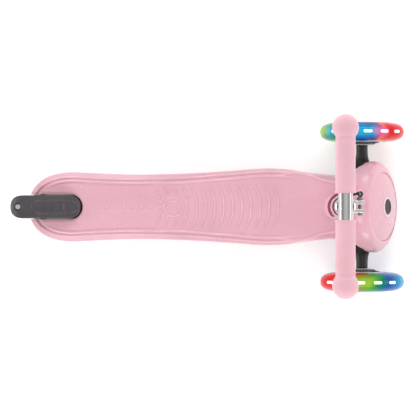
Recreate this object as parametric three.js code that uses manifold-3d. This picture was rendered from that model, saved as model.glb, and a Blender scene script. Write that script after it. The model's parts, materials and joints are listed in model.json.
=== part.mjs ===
// A child's three-wheel kick scooter with a lean-to-steer front truck and a telescopic T-bar.
// Millimetres. +X is forward, +Y is the rider's left, +Z is up.
// The origin is on the ground under the middle of the scooter's overall box.

import * as THREE from 'three';
import { mergeVertices } from 'three/addons/utils/BufferGeometryUtils.js';
import { ParametricGeometry } from 'three/addons/geometries/ParametricGeometry.js';
import Module from 'manifold-3d';

const wasm = await Module();
wasm.setup();

// ---------------------------------------------------------------- driving dimensions

const GAP = 0.3; // clearance between pieces that touch

const FRONT_RADIUS = 60.5;
const FRONT_AXLE_X = 222.5;
const FRONT_WHEEL_Y = 107.7;
const TYRE_HALF = 13.7;
const TYRE_INNER = 34;

const REAR_RADIUS = 40;
const REAR_AXLE_X = -238;
const REAR_TYRE_HALF = 12;
const REAR_TYRE_INNER = 24;

const AXLE_RADIUS = 4;
const BEARING_RADIUS = 11;
const BEARING_WIDTH = 7;
const HUB_RIM_RADIUS = 31;

const STEER_TILT = THREE.MathUtils.degToRad(27);
const KINGPIN_RADIUS = 6;
const SPRING_Y = 27;
const TRUCK_ROOM_FRONT = 14;
const TRUCK_ROOM_TOP = 27;
const NOSE_HEIGHT = 51.5;
const DISC_RADIUS = 49.4;
const DISC_SEAT = 31.3;
const DISC_RISE = 8.7;
const DISC_THICK = 3;
const BUTTON_RADIUS = 10.3;

const DECK_TOP = 75;
const DECK_BOTTOM = 50;
const DECK_WALL = 4.5;
const RECESS_DEPTH = 2.5;
const RECESS_MARGIN = 10;
const SLOT_HALF = 17.7;
const SLOT_END_X = -197;
const DECK_FRONT_X = 209;
const RAIL_Y = 22;
const AXLE_NUT_Y = 27.5;

const BRAKE_HALF = 16.6;
const BRAKE_THICKNESS = 5;
const BRAKE_REAR_X = -283;
const BRAKE_FRONT_X = -182;
const BRAKE_PIN = { x: -196, z: 72 };

const STEM_LEAN = THREE.MathUtils.degToRad(2);
const STEM_FOOT = new THREE.Vector3(184.5, 0, 110);
const LOWER_TUBE_RADIUS = 12.7;
const LOWER_TUBE_BORE = 11.3;
const UPPER_TUBE_RADIUS = 11;
const UPPER_TUBE_BORE = 9.6;
const STEM_BOLT_Z = 89;
const STEM_BOLT_RADIUS = 3;
const STEM_BOLT_SEAT_Y = 28;
const CLAMP_Z = 430;
const CLAMP_HALF = 11;
const CLAMP_RADIUS = 14.4;
const CLAMP_BOLT_X = 23.5;
const CLAMP_PIN_Y = 16.3;
const CAM_RADIUS = 4;
const BAR_Z = 659;
const BAR_RADIUS = 9;
const BAR_HALF = 88;
const GRIP_RADIUS = 12;
const GRIP_START = 16;
const BALL_RADIUS = 16;
const BALL_Y = 94.8;

// ---------------------------------------------------------------- geometry helpers

function solid(geometry) {
  const plain = geometry.index ? geometry.toNonIndexed() : geometry.clone();
  plain.deleteAttribute('normal');
  plain.deleteAttribute('uv');
  const merged = mergeVertices(plain, 1e-3);
  const index = merged.index.array;
  const position = merged.attributes.position;
  const corners = [new THREE.Vector3(), new THREE.Vector3(), new THREE.Vector3()];
  const triangles = [];
  let volume = 0;
  for (let i = 0; i < index.length; i += 3) {
    const [a, b, c] = [index[i], index[i + 1], index[i + 2]];
    if (a === b || b === c || c === a) {
      continue;
    }
    triangles.push([a, b, c]);
    [a, b, c].forEach((vertex, corner) => corners[corner].fromBufferAttribute(position, vertex));
    volume += corners[0].dot(corners[1].clone().cross(corners[2]));
  }
  const outward = volume > 0 ? triangles : triangles.map(([a, b, c]) => [a, c, b]);
  return new wasm.Manifold(new wasm.Mesh({
    numProp: 3,
    vertProperties: new Float32Array(position.array),
    triVerts: new Uint32Array(outward.flat()),
  }));
}

function union(...solids) {
  return solids.reduce((whole, piece) => whole.add(piece));
}

function cut(body, ...tools) {
  return tools.reduce((whole, tool) => whole.subtract(tool), body);
}

function box(x0, x1, y0, y1, z0, z1) {
  const geometry = new THREE.BoxGeometry(x1 - x0, y1 - y0, z1 - z0);
  geometry.translate((x0 + x1) / 2, (y0 + y1) / 2, (z0 + z1) / 2);
  return solid(geometry);
}

// Turns a geometry made about its own Y axis so that Y points along `axis` from `origin`.
function aim(geometry, origin, axis) {
  const turn = new THREE.Quaternion().setFromUnitVectors(new THREE.Vector3(0, 1, 0), axis);
  geometry.applyQuaternion(turn);
  geometry.translate(origin.x, origin.y, origin.z);
  return geometry;
}

// A round bar about `axis`, from distance `start` to distance `end` past `origin`.
function rod(origin, axis, start, end, radius, sides = 18) {
  const geometry = new THREE.CylinderGeometry(radius, radius, end - start, sides);
  geometry.translate(0, (start + end) / 2, 0);
  return solid(aim(geometry, origin, axis));
}

function tube(origin, axis, start, end, outer, bore, sides = 20) {
  return rod(origin, axis, start, end, outer, sides).subtract(
    rod(origin, axis, start - 1, end + 1, bore, sides));
}

// A solid of revolution. `profile` holds [radius, distance along the axis], and closes on itself or the axis.
function turned(origin, axis, profile, sides = 28) {
  const points = profile.map(([radius, along]) => new THREE.Vector2(radius, along));
  if (points[0].x > 0) {
    points.push(points[0].clone());
  }
  return solid(aim(new THREE.LatheGeometry(points, sides), origin, axis));
}

function extrudeUp(shape, z0, z1, curveSegments = 12) {
  const geometry = new THREE.ExtrudeGeometry(shape, { depth: z1 - z0, bevelEnabled: false, curveSegments });
  geometry.translate(0, 0, z0);
  return solid(geometry);
}

// Extrudes a shape drawn in X and Z across the scooter, from y0 to y1.
function extrudeAcross(shape, y0, y1, curveSegments = 12) {
  const geometry = new THREE.ExtrudeGeometry(shape, { depth: y1 - y0, bevelEnabled: false, curveSegments });
  geometry.rotateX(Math.PI / 2);
  geometry.translate(0, y1, 0);
  return solid(geometry);
}

function shapeOf(points) {
  return new THREE.Shape(points.map(([x, y]) => new THREE.Vector2(x, y)));
}

function mirrorY(body) {
  return body.mirror([0, 1, 0]);
}

function material(color, roughness, metalness = 0) {
  return new THREE.MeshStandardMaterial({ color, roughness, metalness });
}

const PINK = '#e8b2c0';
const RASPBERRY = '#9d3f5a';
const CHARCOAL = '#57505a';
const BLACK = '#1f1d1f';
const SILVER = '#bfbcb9';
const STEEL = '#8d8f91';
const WHITE = '#e9e8e6';

const finishes = {
  shell: () => material(PINK, 0.45),
  grip: () => material('#e6b4bf', 0.75),
  raspberry: () => material(RASPBERRY, 0.4),
  charcoal: () => material(CHARCOAL, 0.6),
  black: () => material(BLACK, 0.55),
  rubber: () => material('#262427', 0.85),
  chrome: () => material(SILVER, 0.15, 1),
  steel: () => material(STEEL, 0.35, 1),
  paintedTube: () => material(PINK, 0.35, 0.1),
  tyre: () => material('#e87f9a', 0.2),
  light: () => material('#fdfdfb', 0.2),
  hub: () => material(WHITE, 0.4),
};

const scooter = new THREE.Group();

function addPart(name, body, finish, parent = scooter) {
  const mesh = body.getMesh();
  const geometry = new THREE.BufferGeometry();
  geometry.setAttribute('position', new THREE.BufferAttribute(mesh.vertProperties, 3));
  geometry.setIndex(new THREE.BufferAttribute(mesh.triVerts, 1));
  geometry.computeVertexNormals();
  const part = new THREE.Mesh(geometry, finishes[finish]());
  part.name = name;
  parent.add(part);
}

// ---------------------------------------------------------------- axes shared by the parts

const ORIGIN = new THREE.Vector3();
const UP = new THREE.Vector3(0, 0, 1);
const ACROSS = new THREE.Vector3(0, 1, 0);
const STEER_AXIS = new THREE.Vector3(Math.cos(STEER_TILT), 0, Math.sin(STEER_TILT));
const STEER_UP = new THREE.Vector3(-Math.sin(STEER_TILT), 0, Math.cos(STEER_TILT));
const STEER_CENTRE = new THREE.Vector3(FRONT_AXLE_X, 0, FRONT_RADIUS);
const REAR_AXLE = new THREE.Vector3(REAR_AXLE_X, 0, REAR_RADIUS);
const BRAKE_PIVOT = new THREE.Vector3(BRAKE_PIN.x, 0, BRAKE_PIN.z);
const STEM_AXIS = new THREE.Vector3(-Math.sin(STEM_LEAN), 0, Math.cos(STEM_LEAN));

// The distance along the stem from its foot to the level z.
function stemAt(z) {
  return (z - STEM_FOOT.z) / STEM_AXIS.z;
}

function stemPoint(z) {
  return STEM_FOOT.clone().addScaledVector(STEM_AXIS, stemAt(z));
}

// A block squared up to the steering axis: along it, across, and up at right angles to it.
function steerBlock(t0, t1, y0, y1, b0, b1) {
  const geometry = new THREE.BoxGeometry(t1 - t0, y1 - y0, b1 - b0);
  geometry.translate((t0 + t1) / 2, (y0 + y1) / 2, (b0 + b1) / 2);
  geometry.rotateY(-STEER_TILT);
  geometry.translate(STEER_CENTRE.x, 0, STEER_CENTRE.z);
  return solid(geometry);
}

// ---------------------------------------------------------------- deck

// Half the deck's width where its sides run, as [x, half width].
const DECK_SIDE = [
  [-190, 49.7], [-150, 47.8], [-110, 46.4], [-60, 47], [-10, 49.1], [40, 52.4],
  [88, 55.3], [115, 53.9], [138, 50.4], [160, 47.8], [182, 46.2], [196, 48.5], [212, 54.2],
];
const DECK_TAIL = { x: -190, length: 66.5, halfWidth: 49.7, power: 2.35 };

// The deck's outline moved inwards by `inset`, as a closed shape seen from above.
function deckOutline(inset, tailSteps, sideSteps) {
  const half = [];
  for (let i = 0; i < tailSteps; i += 1) {
    const angle = (Math.PI / 2) * (i / tailSteps);
    const along = (DECK_TAIL.length - inset) * Math.cos(angle) ** (2 / DECK_TAIL.power);
    const across = (DECK_TAIL.halfWidth - inset) * Math.sin(angle) ** (2 / DECK_TAIL.power);
    half.push([DECK_TAIL.x - along, across]);
  }
  const side = new THREE.SplineCurve(DECK_SIDE.map(([x, y]) => new THREE.Vector2(x, y - inset)));
  side.getPoints(sideSteps).forEach((point) => half.push([point.x, point.y]));
  const other = half.slice(1).reverse().map(([x, y]) => [x, -y]);
  return shapeOf([...half, ...other]);
}

// The deck's long section, drawn in X and Z: level under the feet, rising over the neck.
function deckSection(rise) {
  const curve = (points, steps) => new THREE.SplineCurve(
    points.map(([x, z]) => new THREE.Vector2(x, z + rise))).getPoints(steps);
  const tail = curve([
    [-258, 71], [-245, 77], [-215, 79], [-150, 77.5], [-100, 75.6], [-60, DECK_TOP]], 14);
  const neck = curve([
    [60, DECK_TOP], [100, 75.4], [130, 78.5], [155, 85.5], [180, 96], [DECK_FRONT_X, 110.5]], 12);
  const shape = new THREE.Shape([...tail, ...neck]);
  shape.lineTo(DECK_FRONT_X, 30);
  shape.lineTo(188, 30);
  shape.bezierCurveTo(165, 31, 160, DECK_BOTTOM, 125, DECK_BOTTOM);
  shape.lineTo(-258, DECK_BOTTOM);
  return shape;
}

const rail = { x0: -165, x1: 128, z0: 52.5, z1: 66, half: 7, wall: 2.5 };

// A channel, open upwards, that stiffens one side of the deck.
function deckRail(side) {
  const { half, wall } = rail;
  const height = rail.z1 - rail.z0;
  const section = shapeOf([
    [-half, 0], [half, 0], [half, height], [half - wall, height],
    [half - wall, wall], [wall - half, wall], [wall - half, height], [-half, height],
  ]);
  const geometry = new THREE.ExtrudeGeometry(section, { depth: rail.x1 - rail.x0, bevelEnabled: false });
  geometry.rotateX(Math.PI / 2);
  geometry.rotateZ(Math.PI / 2);
  geometry.translate(rail.x0, side * RAIL_Y, rail.z0);
  return solid(geometry);
}

function railRoom(side) {
  const half = rail.half + GAP;
  return box(rail.x0 - GAP, rail.x1 + GAP, side * RAIL_Y - half, side * RAIL_Y + half, 40, rail.z1 + GAP);
}

function deckRibs() {
  const ribs = [box(-185, 150, -1.5, 1.5, DECK_BOTTOM, 72)];
  for (let x = -137; x < 150; x += 52) {
    ribs.push(box(x - 1.5, x + 1.5, -60, 60, DECK_BOTTOM, 72));
  }
  return union(...ribs);
}

// The wheel's slot seen from above: straight sides from x0, and a round front end.
function slotShape(x0, half) {
  const shape = new THREE.Shape();
  shape.moveTo(x0, -half);
  shape.lineTo(SLOT_END_X, -half);
  shape.absarc(SLOT_END_X, 0, half, -Math.PI / 2, Math.PI / 2, false);
  shape.lineTo(x0, half);
  return shape;
}

function wheelSlot() {
  return extrudeUp(slotShape(-270, SLOT_HALF), 0, 120, 16);
}

// The dark liner that closes the slot round the rear wheel, with a floor in front of the tyre.
function wheelGuard() {
  const outline = slotShape(-250, SLOT_HALF - GAP);
  const walls = extrudeUp(outline, DECK_BOTTOM, 65.5, 16)
    .subtract(extrudeUp(slotShape(-260, SLOT_HALF - 2.7), 40, 80, 16));
  const floor = extrudeUp(outline, DECK_BOTTOM, DECK_BOTTOM + 2.5, 16)
    .intersect(box(SLOT_END_X - 0.5, -170, -20, 20, 40, 60));
  return walls.add(floor);
}

// The two cheeks that hold the rear axle and, above them, the brake's pin.
function rearCheek() {
  const shape = new THREE.Shape();
  shape.moveTo(-186, 56);
  shape.lineTo(-205, DECK_BOTTOM);
  shape.lineTo(-225, 36);
  shape.absarc(REAR_AXLE_X, REAR_RADIUS, 12, -0.3, -Math.PI, true);
  shape.lineTo(-250, 62);
  shape.lineTo(-186, 62);
  return extrudeAcross(shape, SLOT_HALF + GAP, 27);
}

// The boss that the stem stands in.
function stemBoss() {
  return turned(STEM_FOOT, STEM_AXIS, [[0, -30], [24, -30], [22, 8], [20, 13], [0, 13]], 32);
}

// A hole right across the scooter, opened out on both sides from |y| = seat for a head and a nut.
function boltHole(centre, radius, seat, headRadius) {
  return union(
    rod(centre, ACROSS, -60, 60, radius + GAP),
    rod(centre, ACROSS, seat, 60, headRadius),
    rod(centre, ACROSS, -60, -seat, headRadius),
  );
}

function deckBoard() {
  const outline = extrudeUp(deckOutline(0, 8, 24), 0, 140);
  const section = extrudeAcross(deckSection(0), -60, 60);
  const board = outline.intersect(section);
  const recess = extrudeUp(deckOutline(RECESS_MARGIN, 6, 20), 0, 140)
    .intersect(extrudeAcross(deckSection(20), -60, 60))
    .subtract(extrudeAcross(deckSection(-RECESS_DEPTH), -60, 60))
    .intersect(box(-225, 125, -60, 60, 40, 140));
  const hollow = extrudeUp(deckOutline(DECK_WALL, 6, 20), 0, 69).intersect(box(-185, 150, -60, 60, 40, 69));
  const ribbed = cut(board, recess, hollow).add(deckRibs().intersect(board.subtract(recess)));
  const cheeks = [rearCheek(), mirrorY(rearCheek())];
  const boltLevel = stemPoint(STEM_BOLT_Z);
  const socket = rod(STEM_FOOT, STEM_AXIS, stemAt(82) - GAP, 60, LOWER_TUBE_RADIUS + GAP, 24);
  return cut(
    union(ribbed, stemBoss().intersect(box(150, DECK_FRONT_X, -30, 30, 60, 130)), ...cheeks),
    railRoom(1),
    railRoom(-1),
    wheelSlot(),
    socket,
    truckRoom(-17),
    rod(STEER_CENTRE, STEER_AXIS, -60, 0, KINGPIN_RADIUS + GAP),
    rod(STEER_CENTRE, STEER_AXIS, -60, -31.5, 10.5),
    boltHole(REAR_AXLE, AXLE_RADIUS, AXLE_NUT_Y - GAP, 9),
    rod(BRAKE_PIVOT, ACROSS, -26.5, 26.5, 2.5 + GAP),
    boltHole(boltLevel, STEM_BOLT_RADIUS, STEM_BOLT_SEAT_Y, 6.5),
  );
}

// ---------------------------------------------------------------- nose

// The nose at the distance t along the steering axis: half its width and half its height.
const NOSE_FORM = [
  [-40, 44, 46], [-14, 50, 49], [-6, 54, 50], [2, 58.7, 51], [9, 63, NOSE_HEIGHT], [15, 65.3, NOSE_HEIGHT],
  [24, 65.3, NOSE_HEIGHT], [29, 64, 51.2], [32, 61.5, 50.6], [33.6, 58, 50.1],
];

function noseBody(inset, t0, t1, around = 32) {
  const rows = NOSE_FORM.filter(([t]) => t > t0 && t < t1);
  const formAt = (t) => {
    const next = Math.max(1, NOSE_FORM.findIndex(([station]) => station >= t));
    const [from, to] = [NOSE_FORM[next - 1], NOSE_FORM[next]];
    const share = (t - from[0]) / (to[0] - from[0]);
    return [t, from[1] + share * (to[1] - from[1]), from[2] + share * (to[2] - from[2])];
  };
  const stations = [formAt(t0), ...rows, formAt(t1)];
  const rings = [[t0, inset, inset], ...stations, [t1, inset, inset]];
  const place = (u, v, target) => {
    const row = Math.round(v * (rings.length - 1));
    const [t, halfWidth, halfHeight] = rings[row];
    const angle = 2 * Math.PI * (Math.round(u * around) % around) / around;
    const [c, s] = [Math.cos(angle), Math.sin(angle)];
    const power = s > 0 ? 2 / 2.6 : 1;
    const y = Math.sign(c) * Math.abs(c) ** power * (halfWidth - inset);
    const b = Math.sign(s) * Math.abs(s) ** power * (halfHeight - inset);
    target.copy(STEER_CENTRE).addScaledVector(STEER_AXIS, t).addScaledVector(STEER_UP, b);
    target.y = y;
  };
  return solid(new ParametricGeometry(place, around, rings.length - 1));
}

// The room that the truck turns in.
function truckRoom(back) {
  return steerBlock(back, TRUCK_ROOM_FRONT, -90, 90, -70, TRUCK_ROOM_TOP);
}

function noseShell() {
  const whole = noseBody(0, -30, 33.5);
  const inside = noseBody(3.5, -29, 14);
  const cup = turned(STEER_CENTRE, STEER_AXIS, [[0, 20], [44, 20], [44, DISC_SEAT - DISC_THICK - GAP],
    [DISC_RADIUS + GAP, DISC_SEAT - DISC_THICK - GAP],
    [DISC_RADIUS + GAP, 50], [0, 50]], 32);
  const front = box(DECK_FRONT_X + GAP, 320, -90, 90, 0, 200);
  const posts = [-1, 1].map((side) => steerBlock(-8, 8, side * SPRING_Y - 7, side * SPRING_Y + 7, 23.5, 44));
  const shell = cut(whole, inside, truckRoom(-60)).add(union(...posts).intersect(whole));
  return cut(
    shell.intersect(front),
    cup,
    rod(STEER_CENTRE, STEER_AXIS, 0, 40, KINGPIN_RADIUS + GAP),
    rod(lockPinCentre(), STEER_AXIS, 0, 40, 2.5 + GAP, 16),
    stemBoss(),
  );
}

function lockPinCentre() {
  return STEER_CENTRE.clone().addScaledVector(STEER_UP, 17);
}

// Radius of the sphere whose cap is the disc's face.
const DISC_SPHERE = (DISC_RADIUS ** 2 + DISC_RISE ** 2) / (2 * DISC_RISE);

function discFace(radius) {
  return DISC_SEAT + DISC_RISE - DISC_SPHERE + Math.sqrt(DISC_SPHERE ** 2 - radius ** 2);
}

function domedRing(inner, outer, thickness, lift = 0, steps = 3) {
  const face = [];
  for (let i = 0; i <= steps; i += 1) {
    const radius = inner + (outer - inner) * (i / steps);
    face.push([radius, discFace(radius) + lift]);
  }
  const back = face.map(([radius, t]) => [radius, t - thickness]).reverse();
  return turned(STEER_CENTRE, STEER_AXIS, [...face, ...back], 32);
}

function truckPlate() {
  const plate = steerBlock(-14, 13.7, -36, 36, -27, -24);
  return cut(plate, ...[-1, 1].map((side) => rod(
    STEER_CENTRE.clone().addScaledVector(ACROSS, side * 28), STEER_UP, -40, 0, 2.2, 12)));
}

function addNose() {
  addPart('nose_shell', noseShell(), 'shell');
  addPart('nose_disc', domedRing(15.2, DISC_RADIUS, DISC_THICK), 'shell');
  addPart('lock_ring', domedRing(BUTTON_RADIUS + 0.6, 14.9, 3.4, 0.4, 2), 'paintedTube');
  addPart('truck_plate', truckPlate(), 'black');
}

// ---------------------------------------------------------------- steering truck

function armOutline() {
  const half = [[0, 17], [26, 15], [50, 12.5], [62, 12], [70, 9.2], [77, 8.5]];
  const front = half.map(([y, x]) => [FRONT_AXLE_X + x, y]);
  const back = half.map(([y, x]) => [FRONT_AXLE_X - x, y]).reverse();
  const left = [...front, ...back];
  const right = left.map(([x, y]) => [x, -y]).reverse();
  return [shapeOf(left), shapeOf(right)];
}

function truckBeam() {
  const arms = armOutline().map((shape) => extrudeUp(shape, FRONT_RADIUS - 8, FRONT_RADIUS + 8));
  const end = rod(STEER_CENTRE, ACROSS, 66, 88.8, 8.5, 28);
  const hub = rod(STEER_CENTRE, STEER_AXIS, -14, 12, 15.5, 32);
  const flange = rod(STEER_CENTRE, STEER_AXIS, 8, 12, 22, 32);
  return cut(
    union(...arms, end, mirrorY(end), hub, flange).intersect(steerBlock(-16, 12, -90, 90, -30, 30)),
    rod(STEER_CENTRE, STEER_AXIS, -30, 30, 9 + GAP),
    rod(STEER_CENTRE, ACROSS, 58, 100, AXLE_RADIUS + GAP),
    rod(STEER_CENTRE, ACROSS, -100, -58, AXLE_RADIUS + GAP),
  );
}

// A flanged bush that lines one end of the truck's hub.
function truckBush(t0, t1) {
  return tube(STEER_CENTRE, STEER_AXIS, t0, t1, 9, KINGPIN_RADIUS + GAP);
}

function kingpin() {
  const shank = rod(STEER_CENTRE, STEER_AXIS, -41, 22, KINGPIN_RADIUS);
  const head = rod(STEER_CENTRE, STEER_AXIS, 20 + GAP, 25, 10, 6);
  return union(shank, head);
}

function steerSpring(side) {
  return steerBlock(-7, 7, side * SPRING_Y - 6, side * SPRING_Y + 6, 13, 23.2);
}

function frontAxle(side) {
  const axis = ACROSS.clone().multiplyScalar(side);
  return union(
    rod(STEER_CENTRE, axis, 59, 119, AXLE_RADIUS),
    rod(STEER_CENTRE, axis, 116.6, 120, 6.5, 6),
  );
}

function addTruck() {
  addPart('truck_beam', truckBeam(), 'black');
  addPart('truck_bush_front', truckBush(0.5, 11.7), 'charcoal');
  addPart('truck_bush_rear', truckBush(-13.7, -0.5), 'charcoal');
  addPart('kingpin', kingpin(), 'steel');
  addPart('kingpin_nut', rod(STEER_CENTRE, STEER_AXIS, -39, -31.8, 9.5, 6)
    .subtract(rod(STEER_CENTRE, STEER_AXIS, -50, 0, KINGPIN_RADIUS + GAP)), 'steel');
  addPart('steer_spring_left', steerSpring(1), 'rubber');
  addPart('steer_spring_right', steerSpring(-1), 'rubber');
  addPart('front_axle_left', frontAxle(1), 'steel');
  addPart('front_axle_right', frontAxle(-1), 'steel');
}

// ---------------------------------------------------------------- steering lock

function lockButton() {
  const top = DISC_SEAT + DISC_RISE + 1.6;
  return turned(STEER_CENTRE, STEER_AXIS, [[0, 33.5], [BUTTON_RADIUS, 33.5], [BUTTON_RADIUS, top - 1.4],
    [BUTTON_RADIUS - 1.4, top - 0.3], [6, top], [0, top]], 32);
}

function lockPlunger() {
  const plate = steerBlock(30.2, 33.2, -5, 5, -5, 20);
  return union(plate, rod(lockPinCentre(), STEER_AXIS, 16.6, 31, 2.5, 16));
}

function addLock() {
  addPart('lock_button', lockButton(), 'charcoal');
  addPart('lock_plunger', lockPlunger(), 'steel');
  addPart('lock_spring', tube(STEER_CENTRE, STEER_AXIS, 25.3, 29.9, 4.6, 3.4, 16), 'steel');
}

// ---------------------------------------------------------------- wheels

// A rounded tread section: flat sides at the inner radius, curving over to the crown.
function treadProfile(inner, outer, half, steps) {
  const points = [[inner, -half]];
  for (let i = 1; i < 2 * steps; i += 1) {
    const angle = Math.PI * (i / (2 * steps)) - Math.PI / 2;
    const across = Math.sign(Math.sin(angle)) * Math.abs(Math.sin(angle)) ** 0.8 * half;
    points.push([inner + (outer - inner) * Math.cos(angle) ** 0.8, across]);
  }
  points.push([inner, half]);
  return points;
}

function frontHub() {
  const rim = turned(ORIGIN, ACROSS, [
    [28, -13.4], [HUB_RIM_RADIUS, -13.4], [HUB_RIM_RADIUS, 12], [28, 12]], 28);
  const barrel = turned(ORIGIN, ACROSS, [[BEARING_RADIUS + GAP, -19], [14, -19], [15.5, -17], [15.5, 12.3],
    [BEARING_RADIUS + GAP, 12.3]], 24);
  const spokes = [];
  for (let i = 0; i < 6; i += 1) {
    const spoke = new THREE.ExtrudeGeometry(shapeOf([[13.5, -17], [29, -12], [29, 8], [13.5, 9]]),
      { depth: 6, bevelEnabled: false });
    spoke.translate(0, 0, -3);
    spoke.rotateY(i * Math.PI / 3);
    spokes.push(solid(spoke));
  }
  return cut(union(rim, barrel, ...spokes), rod(ORIGIN, ACROSS, -30, 30, BEARING_RADIUS + GAP, 24));
}

function bearing(start) {
  return tube(ORIGIN, ACROSS, start, start + BEARING_WIDTH, BEARING_RADIUS, AXLE_RADIUS + GAP, 16);
}

function addFrontWheel(side, word) {
  const wheel = new THREE.Group();
  wheel.position.set(FRONT_AXLE_X, side * FRONT_WHEEL_Y, FRONT_RADIUS);
  wheel.rotation.z = side > 0 ? 0 : Math.PI;
  scooter.add(wheel);
  const tyre = turned(ORIGIN, ACROSS, treadProfile(TYRE_INNER, FRONT_RADIUS, TYRE_HALF, 4), 40);
  const ring = turned(ORIGIN, ACROSS, [
    [HUB_RIM_RADIUS + GAP, -9], [TYRE_INNER - GAP, -9],
    [TYRE_INNER - GAP, 9], [HUB_RIM_RADIUS + GAP, 9]], 28);
  const cap = turned(ORIGIN, ACROSS, [[0, 12.6], [14.5, 12.6], [14.2, 13.2], [11, 13.7], [0, 13.7]], 24);
  const spacer = tube(ORIGIN, ACROSS, -11.2, 1.2, 6.2, AXLE_RADIUS + GAP, 12);
  addPart(`front_tyre_${word}`, tyre, 'tyre', wheel);
  addPart(`light_ring_${word}`, ring, 'light', wheel);
  addPart(`front_hub_${word}`, frontHub(), 'hub', wheel);
  addPart(`front_bearing_${word}_inner`, bearing(-18.5), 'steel', wheel);
  addPart(`front_bearing_${word}_outer`, bearing(1.5), 'steel', wheel);
  addPart(`bearing_spacer_${word}`, spacer, 'steel', wheel);
  addPart(`hub_cap_${word}`, cap, 'charcoal', wheel);
}

function addRearWheel() {
  const wheel = new THREE.Group();
  wheel.position.set(REAR_AXLE_X, 0, REAR_RADIUS);
  scooter.add(wheel);
  const tyre = turned(ORIGIN, ACROSS, treadProfile(REAR_TYRE_INNER, REAR_RADIUS, REAR_TYRE_HALF, 3), 32);
  const hub = turned(ORIGIN, ACROSS, [
    [BEARING_RADIUS + GAP, -11], [15, -11], [16, -6], [21, -6], [REAR_TYRE_INNER - GAP, -10],
    [REAR_TYRE_INNER - GAP, 10], [21, 6], [16, 6], [15, 11], [BEARING_RADIUS + GAP, 11],
  ], 28);
  addPart('rear_tyre', tyre, 'tyre', wheel);
  addPart('rear_hub', hub, 'hub', wheel);
  addPart('rear_bearing_left', bearing(3.5), 'steel', wheel);
  addPart('rear_bearing_right', bearing(-10.5), 'steel', wheel);
}

function addRearAxle() {
  const shank = rod(REAR_AXLE, ACROSS, -34, 30, AXLE_RADIUS);
  const nut = rod(REAR_AXLE, ACROSS, -33, -AXLE_NUT_Y, 7.2, 6);
  addPart('rear_axle', shank.add(rod(REAR_AXLE, ACROSS, AXLE_NUT_Y, 32, 7.5, 6)), 'steel');
  addPart('rear_axle_nut', nut.subtract(rod(REAR_AXLE, ACROSS, -40, 0, AXLE_RADIUS + GAP)), 'steel');
  addPart('wheel_guard', wheelGuard(), 'black');
}

// ---------------------------------------------------------------- rear brake

const BRAKE_SCREW = new THREE.Vector3(-271, 0, 84);

// The brake from the side, its underside a clearance above the wheel and its tail bent down behind it.
function brakeSection(offset) {
  const shape = new THREE.Shape();
  shape.moveTo(BRAKE_FRONT_X, 79 + offset);
  shape.bezierCurveTo(-192, 84 + offset, -205, 87 + offset, -222, 87.5 + offset);
  shape.bezierCurveTo(-248, 88 + offset, -270, 84 + offset, BRAKE_REAR_X, 73 + offset);
  return shape;
}

function brakeLever() {
  const top = brakeSection(BRAKE_THICKNESS);
  const under = brakeSection(0).getPoints(10).reverse();
  under.forEach((point) => top.lineTo(point.x, point.y));
  const strip = extrudeAcross(top, -BRAKE_HALF, BRAKE_HALF, 10);
  const round = new THREE.Shape();
  round.absarc(BRAKE_FRONT_X - BRAKE_HALF, 0, BRAKE_HALF, -Math.PI / 2, Math.PI / 2, false);
  round.absarc(BRAKE_REAR_X + BRAKE_HALF, 0, BRAKE_HALF, Math.PI / 2, 1.5 * Math.PI, false);
  const ear = box(BRAKE_PIN.x - 6, BRAKE_PIN.x + 5, 9, 15, BRAKE_PIN.z - 5.5, 86);
  return cut(
    union(strip.intersect(extrudeUp(round, 40, 120, 12)), ear, mirrorY(ear)),
    rod(BRAKE_PIVOT, ACROSS, -30, 30, 2.5 + GAP, 16),
    rod(BRAKE_SCREW, UP, -30, 30, 2 + GAP, 16),
  );
}

function brakeScrew() {
  return union(rod(BRAKE_SCREW, UP, -9, 4, 2, 16), rod(BRAKE_SCREW, UP, 3.2, 5.4, 3.8, 20));
}

function addBrake() {
  addPart('brake_lever', brakeLever(), 'charcoal');
  addPart('brake_screw', brakeScrew(), 'chrome');
  addPart('brake_pad', box(-255, -222, -8, 8, 83.2, 84.4), 'steel');
  addPart('brake_pin', rod(BRAKE_PIVOT, ACROSS, -26, 26, 2.5, 16), 'steel');
  addPart('brake_spring', tube(BRAKE_PIVOT, ACROSS, -8, 8, 5, 3.2, 16), 'steel');
}

// ---------------------------------------------------------------- stem, clamp and T-bar

function stemTube(z0, z1, outer, bore) {
  return tube(STEM_FOOT, STEM_AXIS, stemAt(z0), stemAt(z1), outer, bore, 24);
}

// The clamp's own frame: the stem's axis upwards, with X forward.
function clampGroup() {
  const clamp = new THREE.Group();
  clamp.position.copy(stemPoint(CLAMP_Z));
  clamp.rotation.y = -STEM_LEAN;
  scooter.add(clamp);
  return clamp;
}

const CLAMP_BOLT = new THREE.Vector3(CLAMP_BOLT_X, 0, 0);
const CLAMP_PIVOT = new THREE.Vector3(CLAMP_BOLT_X, CLAMP_PIN_Y, 0);
const CLAMP_EAR_Y = 8.4;

function clampCollar() {
  const band = tube(ORIGIN, UP, -CLAMP_HALF, CLAMP_HALF, CLAMP_RADIUS, LOWER_TUBE_RADIUS + GAP, 24);
  const ears = box(11, 30, -CLAMP_EAR_Y, CLAMP_EAR_Y, -CLAMP_HALF, CLAMP_HALF);
  return cut(
    union(band, ears),
    rod(ORIGIN, UP, -20, 20, LOWER_TUBE_RADIUS + GAP, 24),
    box(0, 40, -2.6, 2.6, -20, 20),
    rod(CLAMP_BOLT, ACROSS, -20, 20, 2.5 + GAP, 16),
  );
}

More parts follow.
